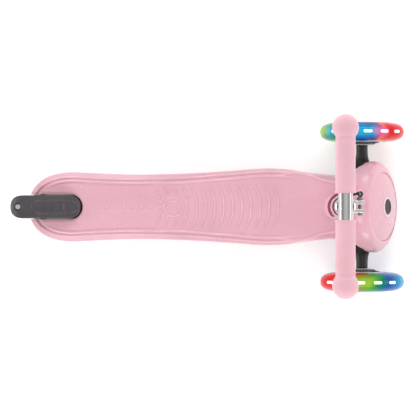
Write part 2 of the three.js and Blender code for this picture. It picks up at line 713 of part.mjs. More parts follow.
// The lever lies round the collar's left side and back: an arc drawn from above, thinner at its tip.
function clampLever() {
  const shape = new THREE.Shape();
  const [inner, outer] = [14.9, 18.4];
  const at = (angle) => THREE.MathUtils.degToRad(angle);
  const [tip, tipRadius] = [at(236), outer - 1.4];
  shape.absarc(CLAMP_BOLT_X, CLAMP_PIN_Y, CAM_RADIUS, at(-90), at(80), false);
  shape.absarc(0, 0, outer, at(60), at(222), false);
  shape.lineTo(tipRadius * Math.cos(tip), tipRadius * Math.sin(tip));
  shape.absarc(0, 0, inner, at(212), at(50), true);
  shape.lineTo(CLAMP_BOLT_X - 4.2, CLAMP_PIN_Y - 1);
  const lever = extrudeUp(shape, -7, 7, 8);
  const slot = box(CLAMP_BOLT_X - 6.5, CLAMP_BOLT_X + 10, 8, CLAMP_PIN_Y + 10, -3.4, 3.4);
  return cut(lever, slot, rod(CLAMP_PIVOT, UP, -20, 20, 1.5 + GAP, 12));
}

// The clamp's bolt ends in an eye for the lever's pin.
function clampBolt() {
  const shank = rod(CLAMP_BOLT, ACROSS, -11.5, CLAMP_PIN_Y, 2.5, 12);
  const eye = rod(CLAMP_PIVOT, UP, -3, 3, 3.6, 16);
  return cut(union(shank, eye), rod(CLAMP_PIVOT, UP, -20, 20, 1.5 + GAP, 12));
}

// A ring on the stem that lies on top of the clamp's collar.
function clampRing(height, outer, bore) {
  return tube(ORIGIN, UP, CLAMP_HALF + GAP, CLAMP_HALF + height, outer, bore, 24);
}

// A ring on the clamp's bolt.
function boltRing(start, end, radius, sides) {
  const bore = rod(CLAMP_BOLT, ACROSS, start - 1, end + 1, 2.5 + GAP, 16);
  return rod(CLAMP_BOLT, ACROSS, start, end, radius, sides).subtract(bore);
}

function addClamp() {
  const clamp = clampGroup();
  const nut = boltRing(-11.2, -CLAMP_EAR_Y - GAP, 3.8, 6);
  const washer = boltRing(CLAMP_EAR_Y + GAP, CLAMP_PIN_Y - CAM_RADIUS - GAP, 4.2, 20);
  addPart('clamp_collar', clampCollar(), 'chrome', clamp);
  addPart('clamp_cap', clampRing(4, CLAMP_RADIUS, LOWER_TUBE_RADIUS + GAP), 'shell', clamp);
  addPart('clamp_bush', clampRing(4.5, LOWER_TUBE_RADIUS, LOWER_TUBE_BORE), 'black', clamp);
  addPart('clamp_bolt', clampBolt(), 'steel', clamp);
  addPart('clamp_pin', rod(CLAMP_PIVOT, UP, -7, 7, 1.5, 12), 'steel', clamp);
  addPart('clamp_nut', nut, 'steel', clamp);
  addPart('clamp_washer', washer, 'steel', clamp);
  addPart('clamp_lever', clampLever(), 'raspberry', clamp);
}

function addStem() {
  const centre = stemPoint(STEM_BOLT_Z);
  const hole = rod(centre, ACROSS, -60, 60, STEM_BOLT_RADIUS + GAP, 16);
  const lower = stemTube(82, CLAMP_Z + CLAMP_HALF, LOWER_TUBE_RADIUS, LOWER_TUBE_BORE);
  const shank = rod(centre, ACROSS, -35, 34, STEM_BOLT_RADIUS, 16);
  const head = rod(centre, ACROSS, STEM_BOLT_SEAT_Y + GAP, 32, 5.5, 6);
  const nut = rod(centre, ACROSS, -33, -STEM_BOLT_SEAT_Y - GAP, 5.5, 6);
  addPart('lower_stem_tube', lower.subtract(hole), 'paintedTube');
  addPart('stem_bolt', shank.add(head), 'steel');
  addPart('stem_bolt_nut', nut.subtract(hole), 'steel');
}

function gripHalf(side) {
  const bar = stemPoint(BAR_Z);
  const axis = ACROSS.clone().multiplyScalar(side);
  const bore = BAR_RADIUS + GAP;
  const ball = [];
  for (let i = 0; i <= 6; i += 1) {
    const angle = Math.PI - 0.85 - (Math.PI - 0.85) * (i / 6);
    ball.push([BALL_RADIUS * Math.sin(angle), BALL_Y + BALL_RADIUS * Math.cos(angle)]);
  }
  const profile = [[bore, GRIP_START], [GRIP_RADIUS - 0.6, GRIP_START], [GRIP_RADIUS, GRIP_START + 1],
    ...ball, [0, BAR_HALF + GAP], [bore, BAR_HALF + GAP]];
  return turned(bar, axis, profile, 24);
}

function addTBar() {
  const bar = stemPoint(BAR_Z);
  const upper = stemTube(270, BAR_Z, UPPER_TUBE_RADIUS, UPPER_TUBE_BORE);
  const saddle = rod(bar, ACROSS, -60, 60, BAR_RADIUS + GAP, 24);
  addPart('upper_stem_tube', upper.subtract(saddle), 'chrome');
  addPart('crossbar', tube(bar, ACROSS, -BAR_HALF, BAR_HALF, BAR_RADIUS, BAR_RADIUS - 1.5, 24), 'chrome');
  addPart('grip_left', gripHalf(1), 'grip');
  addPart('grip_right', gripHalf(-1), 'grip');
}

// ---------------------------------------------------------------- the whole scooter

addPart('deck_board', deckBoard(), 'shell');
addPart('deck_rail_left', deckRail(1), 'steel');
addPart('deck_rail_right', deckRail(-1), 'steel');
addNose();
addTruck();
addLock();
addFrontWheel(1, 'left');
addFrontWheel(-1, 'right');
addRearWheel();
addRearAxle();
addBrake();
addStem();
addClamp();
addTBar();

export default scooter;
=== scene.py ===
"""Looks of the child's three-wheel kick scooter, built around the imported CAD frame.

The CAD's own frame, in metres: +X forward, +Y the rider's left, +Z up, the ground at z = 0.
Shapes are drawn in millimetres, and MM turns them into metres.
"""

import json
import math

import bmesh
import bpy
import numpy as np
from mathutils import Matrix, Vector


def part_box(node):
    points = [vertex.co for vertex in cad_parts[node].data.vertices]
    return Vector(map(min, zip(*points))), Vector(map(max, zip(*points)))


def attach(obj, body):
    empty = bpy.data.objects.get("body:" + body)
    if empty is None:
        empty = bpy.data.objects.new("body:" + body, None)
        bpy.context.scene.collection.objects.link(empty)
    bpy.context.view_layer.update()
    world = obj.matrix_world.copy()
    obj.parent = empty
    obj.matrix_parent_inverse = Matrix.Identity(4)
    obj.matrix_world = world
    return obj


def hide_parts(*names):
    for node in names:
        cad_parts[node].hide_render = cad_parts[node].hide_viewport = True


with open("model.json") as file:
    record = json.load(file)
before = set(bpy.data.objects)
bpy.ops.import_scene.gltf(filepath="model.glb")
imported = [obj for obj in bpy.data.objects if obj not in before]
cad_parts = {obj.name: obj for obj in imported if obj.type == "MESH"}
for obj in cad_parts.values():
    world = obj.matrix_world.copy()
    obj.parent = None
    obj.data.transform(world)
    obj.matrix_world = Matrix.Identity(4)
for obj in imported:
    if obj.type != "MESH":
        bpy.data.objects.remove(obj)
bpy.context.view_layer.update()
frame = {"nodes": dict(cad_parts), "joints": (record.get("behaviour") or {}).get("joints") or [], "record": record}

MM = 0.001
UP = Vector((0, 0, 1))
ACROSS = Vector((0, 1, 0))


# ------------------------------------------------------------------ the frame's own places

def middle(node):
    low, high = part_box(node)
    return (low + high) / 2


JOINTS = {joint["name"]: joint for joint in frame["joints"]}
STEER_CENTRE = Vector(JOINTS["steer"]["pos_m"])
STEER_AXIS = Vector(JOINTS["steer"]["axis"]).normalized()
STEER_UP = Vector((-STEER_AXIS.z, 0, STEER_AXIS.x))
STEM_AXIS = Vector(JOINTS["height"]["axis"]).normalized()
BAR = middle("crossbar")
REAR_AXLE = Vector(JOINTS["rear_wheel_spin"]["pos_m"])


def stem_point(z):
    """The point of the stem's centre line at the height z."""
    return BAR + STEM_AXIS * ((z - BAR.z) / STEM_AXIS.z)


# ------------------------------------------------------------------ materials

def srgb(red, green, blue):
    """A colour given as 0..255 screen values, as linear light."""
    def linear(value):
        value /= 255
        return value / 12.92 if value <= 0.04045 else ((value + 0.055) / 1.055) ** 2.4
    return (linear(red), linear(green), linear(blue), 1.0)


class Graph:
    """A small helper that builds a material's node tree."""

    def __init__(self, name):
        self.material = bpy.data.materials.new(name)
        self.material.use_nodes = True
        self.nodes = self.material.node_tree.nodes
        self.links = self.material.node_tree.links
        self.shader = self.nodes["Principled BSDF"]
        self.coords = self.nodes.new("ShaderNodeTexCoord").outputs["Object"]

    def link(self, source, target):
        self.links.new(source, target)

    def node(self, kind, **values):
        node = self.nodes.new("ShaderNode" + kind)
        for key, value in values.items():
            socket = key.replace("_", " ")
            if socket in node.inputs:
                node.inputs[socket].default_value = value
            else:
                setattr(node, key, value)
        return node

    def mapped(self, **values):
        """The object's own coordinates, moved or stretched."""
        node = self.node("Mapping", **values)
        self.link(self.coords, node.inputs["Vector"])
        return node.outputs["Vector"]

    def compute(self, operation, *sources):
        node = self.node("Math", operation=operation)
        for source, socket in zip(sources, node.inputs):
            self.link(source, socket)
        return node.outputs[0]

    def noise(self, scale, detail=4.0, roughness=0.55, stretch=None):
        node = self.node("TexNoise", Scale=scale, Detail=detail, Roughness=roughness)
        self.link(self.mapped(Scale=stretch) if stretch else self.coords, node.inputs["Vector"])
        return node.outputs["Fac"]

    def spread(self, source, low, high, from_low=0.3, from_high=0.7):
        node = self.node("MapRange", From_Min=from_low, From_Max=from_high, To_Min=low, To_Max=high)
        self.link(source, node.inputs["Value"])
        return node.outputs["Result"]

    def ramp(self, source, stops):
        node = self.node("ValToRGB")
        elements = node.color_ramp.elements
        while len(elements) > 1:
            elements.remove(elements[0])
        elements[0].position, elements[0].color = stops[0]
        for position, color in stops[1:]:
            elements.new(position).color = color
        self.link(source, node.inputs["Fac"])
        return node.outputs["Color"]

    def bump(self, source, strength, distance):
        node = self.node("Bump", Strength=strength, Distance=distance)
        self.link(source, node.inputs["Height"])
        self.link(node.outputs["Normal"], self.shader.inputs["Normal"])

    def set(self, **values):
        for key, value in values.items():
            self.shader.inputs[key.replace("_", " ")].default_value = value


def shade(color, factor):
    return tuple(min(1.0, channel * factor) for channel in color[:3]) + (1.0,)


# The Geometry node's Pointiness in a groove, on a flat and on a crest.
GROOVE_AT, FLAT_AT, CREST_AT = 0.485, 0.5, 0.53


def moulded(name, color, roughness, grain=900.0, depth=0.000015, variation=0.05, coat=0.0, edges=0.0):
    """Injection-moulded plastic: slight colour drift, fine grain, polish that varies, a painted highlight on
    ridges and painted shade in grooves.
    """
    graph = Graph(name)
    drift = graph.noise(14.0, 3.0)
    tint = graph.ramp(drift, [(0.3, shade(color, 1 - variation)), (0.7, shade(color, 1 + variation))])
    # edges sets how strong the painted highlight on ridges and the painted shade in grooves are, both read from
    # Pointiness.
    if edges:
        relief_light_mask = graph.node("NewGeometry").outputs["Pointiness"]
        level = graph.node("Mix", data_type="RGBA", blend_type="MULTIPLY", clamp_result=False, Factor=1.0)
        graph.link(tint, level.inputs[6])
        # groove is the painted shade's colour factor, crest the painted highlight's.
        groove = (1 - edges * 0.2, 1 - edges * 0.5, 1 - edges * 0.4, 1)
        crest = (1 + edges * 0.4, 1 + edges, 1 + edges * 0.8, 1)
        relief = [(GROOVE_AT, groove), (FLAT_AT, (1, 1, 1, 1)), (CREST_AT, crest)]
        graph.link(graph.ramp(relief_light_mask, relief), level.inputs[7])
        tint = level.outputs[2]
    graph.link(tint, graph.shader.inputs["Base Color"])
    graph.link(graph.spread(graph.noise(60.0), roughness - 0.05, roughness + 0.06),
               graph.shader.inputs["Roughness"])
    graph.bump(graph.noise(grain, 2.0), 0.35, depth)
    graph.set(Coat_Weight=coat, Coat_Roughness=0.15)
    return graph.material


def soft_rubber(name, color):
    graph = Graph(name)
    graph.link(graph.ramp(graph.noise(40.0, 3.0), [(0.3, shade(color, 0.97)), (0.7, shade(color, 1.03))]),
               graph.shader.inputs["Base Color"])
    graph.link(graph.spread(graph.noise(180.0), 0.5, 0.62), graph.shader.inputs["Roughness"])
    graph.bump(graph.noise(1600.0, 2.0), 0.4, 0.00005)
    graph.set(Sheen_Weight=0.25, Sheen_Roughness=0.4)
    return graph.material


def metal(name, color, roughness, stretch=(1, 1, 1), scale=300.0, scratches=0.12):
    """Plated or brushed metal, with streaks along its own finish."""
    graph = Graph(name)
    streaks = graph.noise(scale, 4.0, 0.6, stretch)
    graph.link(graph.ramp(streaks, [(0.25, shade(color, 0.86)), (0.75, color)]),
               graph.shader.inputs["Base Color"])
    graph.link(graph.spread(streaks, roughness, roughness + scratches), graph.shader.inputs["Roughness"])
    graph.bump(streaks, 0.12, 0.00002)
    graph.set(Metallic=1.0)
    return graph.material


def tyre_glow(name, stops, centre, strength):
    """Clear cast urethane lit by coloured lamps; stops are (share of a turn, middle colour, side colour)."""
    graph = Graph(name)
    parts = graph.node("SeparateXYZ")
    graph.link(graph.mapped(Location=-centre), parts.inputs["Vector"])
    angle = graph.compute("ARCTAN2", parts.outputs["X"], parts.outputs["Z"])
    wander = graph.spread(graph.noise(30.0, 1.0), -0.16, 0.16)
    turn = graph.spread(graph.compute("ADD", angle, wander), 0.0, 1.0, -math.pi, math.pi)
    depth = graph.compute("ABSOLUTE", parts.outputs["Y"])
    blend = graph.node("Mix", data_type="RGBA")
    graph.link(graph.spread(depth, 0.0, 1.0, 0.003, 0.0115), blend.inputs["Factor"])
    graph.link(graph.ramp(turn, [(place, inner) for place, inner, _ in stops]), blend.inputs[6])
    graph.link(graph.ramp(turn, [(place, outer) for place, _, outer in stops]), blend.inputs[7])
    graph.link(blend.outputs[2], graph.shader.inputs["Base Color"])
    graph.link(blend.outputs[2], graph.shader.inputs["Emission Color"])
    graph.link(graph.spread(graph.noise(500.0), 0.14, 0.22), graph.shader.inputs["Roughness"])
    graph.set(Emission_Strength=strength, Specular_IOR_Level=0.2)
    return graph.material


def window_glow(name):
    graph = Graph(name)
    graph.link(graph.ramp(graph.noise(300.0), [(0.3, (0.95, 0.97, 1.0, 1)), (0.7, (1, 1, 1, 1))]),
               graph.shader.inputs["Emission Color"])
    graph.set(Base_Color=(0.95, 0.95, 0.95, 1), Emission_Strength=1.1, Roughness=0.15)
    return graph.material


MATERIALS = {
    # The shell carries the painted ridge highlight and painted groove shade.
    "shell": moulded("pink_shell_look", srgb(227, 172, 185), 0.3, coat=0.25, edges=0.2),
    "disc": moulded("pink_disc_look", srgb(228, 175, 187), 0.3, coat=0.2),
    "ring": moulded("pale_pink_look", srgb(242, 212, 218), 0.25, variation=0.02),
    "grip": soft_rubber("pink_grip_look", srgb(240, 188, 199)),
    "pink_tube": moulded("pink_tube_look", srgb(236, 178, 192), 0.3, 1500.0, 0.00001, 0.03, 0.4),
    "raspberry": moulded("raspberry_look", srgb(160, 62, 92), 0.3, coat=0.3),
    "charcoal": moulded("charcoal_look", srgb(68, 63, 68), 0.38, 480.0, 0.0002, 0.2, 0.1),
    "button": moulded("button_look", srgb(46, 43, 42), 0.5, 900.0, 0.00006, 0.1),
    "black": moulded("black_plastic_look", srgb(34, 32, 34), 0.38, 600.0, 0.00008, 0.2),
    "black_rubber": soft_rubber("black_rubber_look", srgb(30, 29, 30)),
    "chrome": metal("bright_metal_look", srgb(205, 203, 202), 0.14, (1, 0.05, 1), 500.0, 0.08),
    "stem_metal": metal("stem_metal_look", srgb(208, 206, 205), 0.16, (1, 1, 0.05), 500.0, 0.08),
    "aluminium": metal("clamp_metal_look", srgb(214, 213, 211), 0.24, (1, 1, 1), 350.0),
    "steel": metal("steel_look", srgb(150, 152, 155), 0.32, (1, 1, 0.3), 400.0),
    "hub": moulded("hub_look", srgb(226, 225, 224), 0.3, 800.0, 0.00003, 0.04, 0.2),
    "hub_dark": moulded("hub_dark_look", srgb(72, 70, 72), 0.35, 800.0, 0.00003, 0.15, 0.2),
    "pale_tyre": moulded("pale_tyre_look", srgb(236, 224, 226), 0.22, 500.0, 0.00004, 0.03, 0.4),
    "window": window_glow("light_window_look"),
}


# ------------------------------------------------------------------ mesh helpers

SHELL = ("shell", "deck", "pink_shell")


def face_outwards(mesh, weld=0.0):
    """Turns a closed mesh's faces outwards, joining points closer than `weld` first."""
    work = bmesh.new()
    work.from_mesh(mesh)
    if weld:
        bmesh.ops.remove_doubles(work, verts=work.verts, dist=weld)
    bmesh.ops.recalc_face_normals(work, faces=work.faces)
    work.to_mesh(mesh)
    work.free()


def smooth(mesh, sharp):
    mesh.polygons.foreach_set("use_smooth", [True] * len(mesh.polygons))
    mesh.set_sharp_from_angle(angle=math.radians(sharp))


def finish_mesh(name, mesh, material, body, slot, sharp=32.0, weld=0.0, replaces=None):
    """Welds, faces outwards and smooths a mesh, then hangs it on its CAD body."""
    face_outwards(mesh, weld)
    smooth(mesh, sharp)
    mesh.materials.clear()
    mesh.materials.append(MATERIALS[material])
    piece = bpy.data.objects.new(name, mesh)
    bpy.context.scene.collection.objects.link(piece)
    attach(piece, body)
    if replaces:
        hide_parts(*replaces)
    return piece


def mesh_from(name, vertices, faces):
    mesh = bpy.data.meshes.new(name)
    mesh.from_pydata([tuple(vertex) for vertex in vertices], [], faces)
    return mesh


def strip_faces(rows, columns, wrap=False, start=0):
    """Quads between consecutive rows of a grid whose vertices are numbered from `start`."""
    faces = []
    last = columns if wrap else columns - 1
    for row in range(rows - 1):
        for column in range(last):
            a = start + row * columns + column
            b = start + row * columns + (column + 1) % columns
            faces.append((a, b, b + columns, a + columns))
    return faces


def ring_skin(rings, start=0):
    """The points and faces of a skin over closed rings of points, with a cap on each end."""
    columns = len(rings[0])
    vertices = [point for ring in rings for point in ring]
    faces = strip_faces(len(rings), columns, True, start)
    faces.append(tuple(range(start, start + columns)))
    faces.append(tuple(range(start + len(vertices) - columns, start + len(vertices))))
    return vertices, faces


def loft(name, rings):
    return mesh_from(name, *ring_skin(rings))


def basis(axis):
    """Two directions square to an axis; the first lies as level as it can."""
    side = ACROSS if abs(axis.dot(ACROSS)) < 0.9 else Vector((1, 0, 0))
    first = (side - axis * side.dot(axis)).normalized()
    return first, axis.cross(first)


# Joins the points that a turned profile leaves on its own axis, in metres.
POLE_WELD = 0.000001


def turned(name, origin, axis, profile, segments=64):
    """A solid of revolution; profile holds (radius, distance along the axis) in millimetres."""
    first, second = basis(axis)
    closed = profile[0][0] > 0
    points = list(profile) + ([profile[0]] if closed else [])
    vertices = []
    for radius, along in points:
        for step in range(segments):
            angle = 2 * math.pi * step / segments
            out = first * math.cos(angle) + second * math.sin(angle)
            vertices.append(origin + axis * (along * MM) + out * (radius * MM))
    mesh = mesh_from(name, vertices, strip_faces(len(points), segments, True))
    if not closed:
        face_outwards(mesh, weld=POLE_WELD)
    return mesh


def lathe(name, origin, axis, profile, segments, *look, **options):
    """A finished piece turned from a profile; look is its material, body and slot, of which the slot is not used.
    """
    return finish_mesh(name, turned(name, origin, axis, profile, segments), *look, **options)


def rounded(profile, radius, steps=3):
    """Rounds every corner of a closed (radius, distance) profile."""
    result = []
    count = len(profile)
    for index, point in enumerate(profile):
        here = Vector(point)
        before = Vector(profile[index - 1]) - here
        after = Vector(profile[(index + 1) % count]) - here
        if here.x <= 0.01:
            result.append(tuple(here))
            continue
        reach = min(radius, before.length * 0.45, after.length * 0.45)
        start = here + before.normalized() * reach
        end = here + after.normalized() * reach
        for step in range(steps + 1):
            share = step / steps
            bend = start * (1 - share) ** 2 + here * 2 * share * (1 - share) + end * share ** 2
            result.append(tuple(bend))
    return result


def prism(name, outline, low, high, across=False):
    """Extrudes an outline in millimetres: upwards from above, or across from the side (x, z)."""
    def place(x, other, level):
        return (x * MM, level * MM, other * MM) if across else (x * MM, other * MM, level * MM)
    count = len(outline)
    vertices = [place(x, other, level) for level in (low, high) for x, other in outline]
    faces = [(i, (i + 1) % count, count + (i + 1) % count, count + i) for i in range(count)]
    faces += [tuple(range(count)), tuple(range(count, 2 * count))]
    return mesh_from(name, vertices, faces)


def bevel(piece, width, segments=3, angle=30.0):
    modifier = piece.modifiers.new("edges", "BEVEL")
    modifier.width = width * MM
    modifier.segments = segments
    modifier.limit_method = "ANGLE"
    modifier.angle_limit = math.radians(angle)


def apply_modifiers(piece):
    depsgraph = bpy.context.evaluated_depsgraph_get()
    mesh = bpy.data.meshes.new_from_object(piece.evaluated_get(depsgraph))
    piece.modifiers.clear()
    piece.data = mesh


def carve(piece, cutter_mesh):
    """Cuts a closed mesh out of a piece and leaves no modifier behind."""
    face_outwards(cutter_mesh)
    cutter = bpy.data.objects.new("cutter", cutter_mesh)
    bpy.context.scene.collection.objects.link(cutter)
    modifier = piece.modifiers.new("cut", "BOOLEAN")
    modifier.object = cutter
    modifier.solver = "EXACT"
    bpy.context.view_layer.update()
    apply_modifiers(piece)
    bpy.data.objects.remove(cutter)
    smooth(piece.data, 32)


def tilted(t, y, b):
    """A point in the steering axis's directions, in millimetres: along it, across, and up from it."""
    return STEER_CENTRE + STEER_AXIS * (t * MM) + ACROSS * (y * MM) + STEER_UP * (b * MM)


def curve_through(points):
    """A smooth function through (x, value) points."""
    xs = np.array([x for x, _ in points], float)
    ys = np.array([y for _, y in points], float)
    slopes = np.gradient(ys, xs)

    def value(x):
        x = np.clip(np.asarray(x, float), xs[0], xs[-1])
        index = np.clip(np.searchsorted(xs, x, side="right") - 1, 0, len(xs) - 2)
        width = xs[index + 1] - xs[index]
        s = (x - xs[index]) / width
        return ((2 * s**3 - 3 * s**2 + 1) * ys[index] + (s**3 - 2 * s**2 + s) * width * slopes[index]
                + (-2 * s**3 + 3 * s**2) * ys[index + 1] + (s**3 - s**2) * width * slopes[index + 1])
    return value


def ease(x, low, high):
    """0 below `low`, 1 above `high`, smooth between."""
    s = np.clip((np.asarray(x, float) - low) / (high - low), 0, 1)
    return s * s * (3 - 2 * s)


def ridge(distance, width):
    """A rounded ridge one unit high and `width` across."""
    return np.where(np.abs(distance) < width / 2, np.cos(np.pi * distance / width) ** 2, 0.0)


def roll(share, fullness=0.98):
    """How far a rounded corner has fallen: 0 where it starts, nearly 1 at its edge."""
    return 1 - np.sqrt(1 - fullness * share**2)


def signed_power(value, power):
    return math.copysign(abs(value) ** power, value)


# ------------------------------------------------------------------ deck

TAIL_CENTRE, TAIL_LENGTH, TAIL_WIDTH, TAIL_POWER = -190, 66.5, 49.7, 2.35
SIDE = curve_through([
    (-190, 49.7), (-150, 47.8), (-110, 46.4), (-60, 47), (-10, 49.1), (40, 52.4),
    (88, 55.3), (115, 53.9), (138, 50.4), (160, 47.8), (182, 46.2), (196, 48.5), (212, 54.2)])
DECK_LEVEL = 75
TOP = curve_through([
    (-258, 71), (-245, 77), (-215, 79), (-150, 77.5), (-100, 75.6), (-60, DECK_LEVEL), (60, DECK_LEVEL),
    (100, 75.4), (130, 78.5), (155, 85.5), (180, 96), (209, 110.5)])
UNDER = curve_through([(-258, 50), (110, 50), (135, 48.5), (160, 39), (180, 31.5), (195, 30), (209, 30)])
SLOT = 17.7
SLOT_CENTRE = -197
WALL = 4.5
SEAM = 209
CREST = curve_through([(-260, 6), (-154, 6.6), (-82, 6.2), (-11, 5.6), (46, 4.6), (90, 4.4), (212, 4.4)])
NECK_LIP = curve_through([
    (112, 52.4), (124, 51.4), (137, 49), (151, 44.5), (164, 40), (177, 36.9), (209, 35)])
ARC_RADIUS = 60
ARC_PITCH = 13.05
FIRST_ARC = -28.4
RING_X = -48.6
RING_RADIUS = 13.9


def half_width(x):
    reach = np.clip((TAIL_CENTRE - np.asarray(x, float)) / TAIL_LENGTH, 0, 1)
    tail = TAIL_WIDTH * (1 - reach**TAIL_POWER) ** (1 / TAIL_POWER)
    return np.where(np.asarray(x) < TAIL_CENTRE, tail, SIDE(x))


def edge_distance(x, y):
    """How far a point of the deck lies inside its outline."""
    across = np.abs(y)
    plain = half_width(x) - across
    dx = np.maximum(TAIL_CENTRE - x, 1e-6)
    rho = ((dx / TAIL_LENGTH) ** TAIL_POWER + (across / TAIL_WIDTH) ** TAIL_POWER) ** (1 / TAIL_POWER)
    slope = np.hypot(dx ** (TAIL_POWER - 1) / TAIL_LENGTH**TAIL_POWER,
                     across ** (TAIL_POWER - 1) / TAIL_WIDTH**TAIL_POWER)
    round_end = (1 - rho) / np.maximum(rho ** (1 - TAIL_POWER) * slope, 1e-6)
    return np.where(x < TAIL_CENTRE, np.maximum(round_end, 0), plain)


def hump(x, y):
    """The raised spine between the stem's foot and the disc."""
    return 5.5 * ease(x, 172, 200) * np.exp(-(np.abs(y) / 21) ** 5)


def tread_relief(x, y):
    """The moulded grip pattern: dots, two rings and rows of arcs, all about a millimetre high."""
    relief = np.zeros_like(x)
    for column in range(9):
        for row in (-13.3, 0, 13.3):
            relief += 0.9 * ridge(np.hypot(x + 158 - 12.6 * column, y - row), 6.4)
    for column in range(5):
        for row in (-27.7, 27.7):
            relief += 0.8 * ridge(np.hypot(x + 182 - 14 * column, y - row), 6)
    from_ring = np.hypot(x - RING_X, y)
    relief += 0.8 * ridge(from_ring - RING_RADIUS, 2.6)
    relief += 0.6 * ridge(from_ring - RING_RADIUS * 0.55, 2.4)
    for index in range(-3, 11):
        apex = FIRST_ARC + ARC_PITCH * index
        bow = apex - (ARC_RADIUS - np.sqrt(ARC_RADIUS**2 - np.clip(y, -50, 50) ** 2))
        line = ridge(x - bow, 2.9) * (1 - ease(np.abs(y), 28, 33))
        if index <= 0:
            line = line * np.where(np.cos(y * 0.82) > -0.35, 1, 0)
        relief += 1.05 * line * ease(from_ring, RING_RADIUS + 1.5, RING_RADIUS + 3.5)
    return relief


def side_fall(x, y):
    """How far the neck's surface falls from its middle: gently to a lip, then as a sloping side."""
    across = np.abs(y)
    lip = NECK_LIP(x)
    beyond = np.clip((across - lip) / np.maximum(half_width(x) - lip, 1), 0, 1)
    lipped = 0.1 * np.minimum(across / lip, 1) ** 3 + 0.9 * beyond**1.15
    round_front = (across / half_width(x)) ** 4.5
    blend = ease(x, 180, 206)
    return 25.5 * ease(x, 112, 209) * (lipped * (1 - blend) + round_front * blend)


def deck_height(x, y):
    inboard = edge_distance(x, y)
    flat = 1 - ease(x, 96, 138)
    crest = CREST(x)
    height = TOP(x)
    corner = np.clip(1 - inboard / 4.6, 0, 1)
    height = height - 4.2 * roll(corner)
    height = height + flat * 1.5 * np.exp(-((inboard - crest) / 1.7) ** 2)
    height = height - flat * 1.4 * np.exp(-((inboard - crest - 4.0) / 1.5) ** 2)
    wall = ease(inboard, crest + 5.6, crest + 9.4)
    back = ease(x, -236, -205)
    height = height - flat * back * wall * (1.6 + 1.6 * (1 - ease(x, -120, -30)))
    from_slot = np.where(x < SLOT_CENTRE, np.abs(y), np.hypot(x - SLOT_CENTRE, y)) - SLOT
    lip = np.clip(1 - from_slot / 1.6, 0, 1)
    height = height - 1.4 * roll(lip) + 0.4 * np.exp(-((from_slot - 4.5) / 2.2) ** 2)
    from_lip = np.abs(y) - NECK_LIP(x) + 1.2
    neck_lip = (1 - flat) * (1 - ease(x, 180, 204)) * 0.9 * np.exp(-(from_lip / 1.4) ** 2)
    return height - side_fall(x, y) + neck_lip + hump(x, y) + tread_relief(x, y) * flat


def deck_stations():
    """Where the deck is cut across: close together at its round ends and over the grip pattern."""
    tip = TAIL_CENTRE - TAIL_LENGTH * (1 - (SLOT / TAIL_WIDTH) ** TAIL_POWER) ** (1 / TAIL_POWER)
    slot_end = SLOT_CENTRE + SLOT
    xs = [tip + 28 * (k / 40) ** 2 for k in range(41)]
    xs += list(np.arange(xs[-1] + 1.4, SLOT_CENTRE, 1.4)) + [SLOT_CENTRE]
    xs += [SLOT_CENTRE + SLOT * math.sin(math.pi / 2 * k / 22) for k in range(1, 23)]
    xs += [slot_end + 3 * (k / 6) ** 2 for k in range(1, 7)]
    xs += list(np.arange(xs[-1] + 0.7, 104, 0.7)) + list(np.arange(105, SEAM, 1.6)) + [SEAM]
    return np.array(xs)


def slot_edge(x, radius):
    """Half the slot's width at x, for the slot itself or a parallel line outside it."""
    reach = np.clip(radius**2 - np.maximum(x - SLOT_CENTRE, 0) ** 2, 0, None)
    return np.sqrt(reach)


def deck_half(side):
    """One half of the deck's skin: top, outer wall, underside lip, hollow and slot wall."""
    xs = deck_stations()
    inner = slot_edge(xs, SLOT)
    ceiling_edge = slot_edge(xs, SLOT + 3)
    outer = half_width(xs)
    rim = np.array([0, 0.3, 0.8, 1.5, 2.4, 3.4, 4.4, 5.4, 6.4, 7.4, 8.4, 9.4, 10.4, 11.4, 12.6, 14])
    columns = 46
    span = np.maximum(outer - inner, 0)
    scale = np.minimum(1, span / 20)
    level = np.linspace(0, 1, columns)[None, :]
    flat_to = (outer - rim[-1] * scale)[:, None]
    across = np.hstack([inner[:, None] + (flat_to - inner[:, None]) * level,
                        outer[:, None] - rim[::-1][None, 1:] * scale[:, None]])
    grid_x = np.repeat(xs[:, None], across.shape[1], 1)
    top = deck_height(grid_x, across)
    under = UNDER(xs)
    hollow = np.minimum(TOP(xs) - 8, 68)

    def line(y, z):
        """A line of points along the deck."""
        return np.stack([xs, y, z], 1)[:, None]

    shape = [np.stack([grid_x, across, top], 2)]
    for share in (0.2, 0.5, 0.8):
        shape.append(line(outer, top[:, -1] * (1 - share) + (under + 2) * share))
    for inset, rise in ((0, 2), (0.5, 0.7), (1.6, 0), (WALL, 0), (WALL, 1)):
        shape.append(line(np.maximum(outer - inset, ceiling_edge), under + rise))
    shape.append(line(np.maximum(outer - WALL, ceiling_edge), hollow))
    shape.append(line(ceiling_edge, hollow))
    skin = np.concatenate(shape, 1)
    faces = strip_faces(len(xs), skin.shape[1])
    vertices = skin.reshape(-1, 3)
    slot_rows = int(np.searchsorted(xs, SLOT_CENTRE + SLOT + 1e-6))
    lip_rows = int(np.searchsorted(xs, SLOT_CENTRE + SLOT + 3 + 1e-6))
    walls = [line(inner, top[:, 0]), line(inner, (top[:, 0] + under) / 2), line(inner, under)]
    lips = [line(inner, under), line(ceiling_edge, under), line(ceiling_edge, hollow)]
    for block in (np.concatenate(walls, 1)[:slot_rows], np.concatenate(lips, 1)[:lip_rows]):
        faces += strip_faces(block.shape[0], 3, start=len(vertices))
        vertices = np.vstack([vertices, block.reshape(-1, 3)])
    front = [tuple(row) for row in skin[-1]]
    vertices = vertices * [MM, side * MM, MM]
    return vertices, faces, front


def deck_front(half):
    """The ring of points that closes the neck at its front end."""
    left, right = ([(x * MM, side * y * MM, z * MM) for x, y, z in half] for side in (1, -1))
    return left + right[:0:-1]


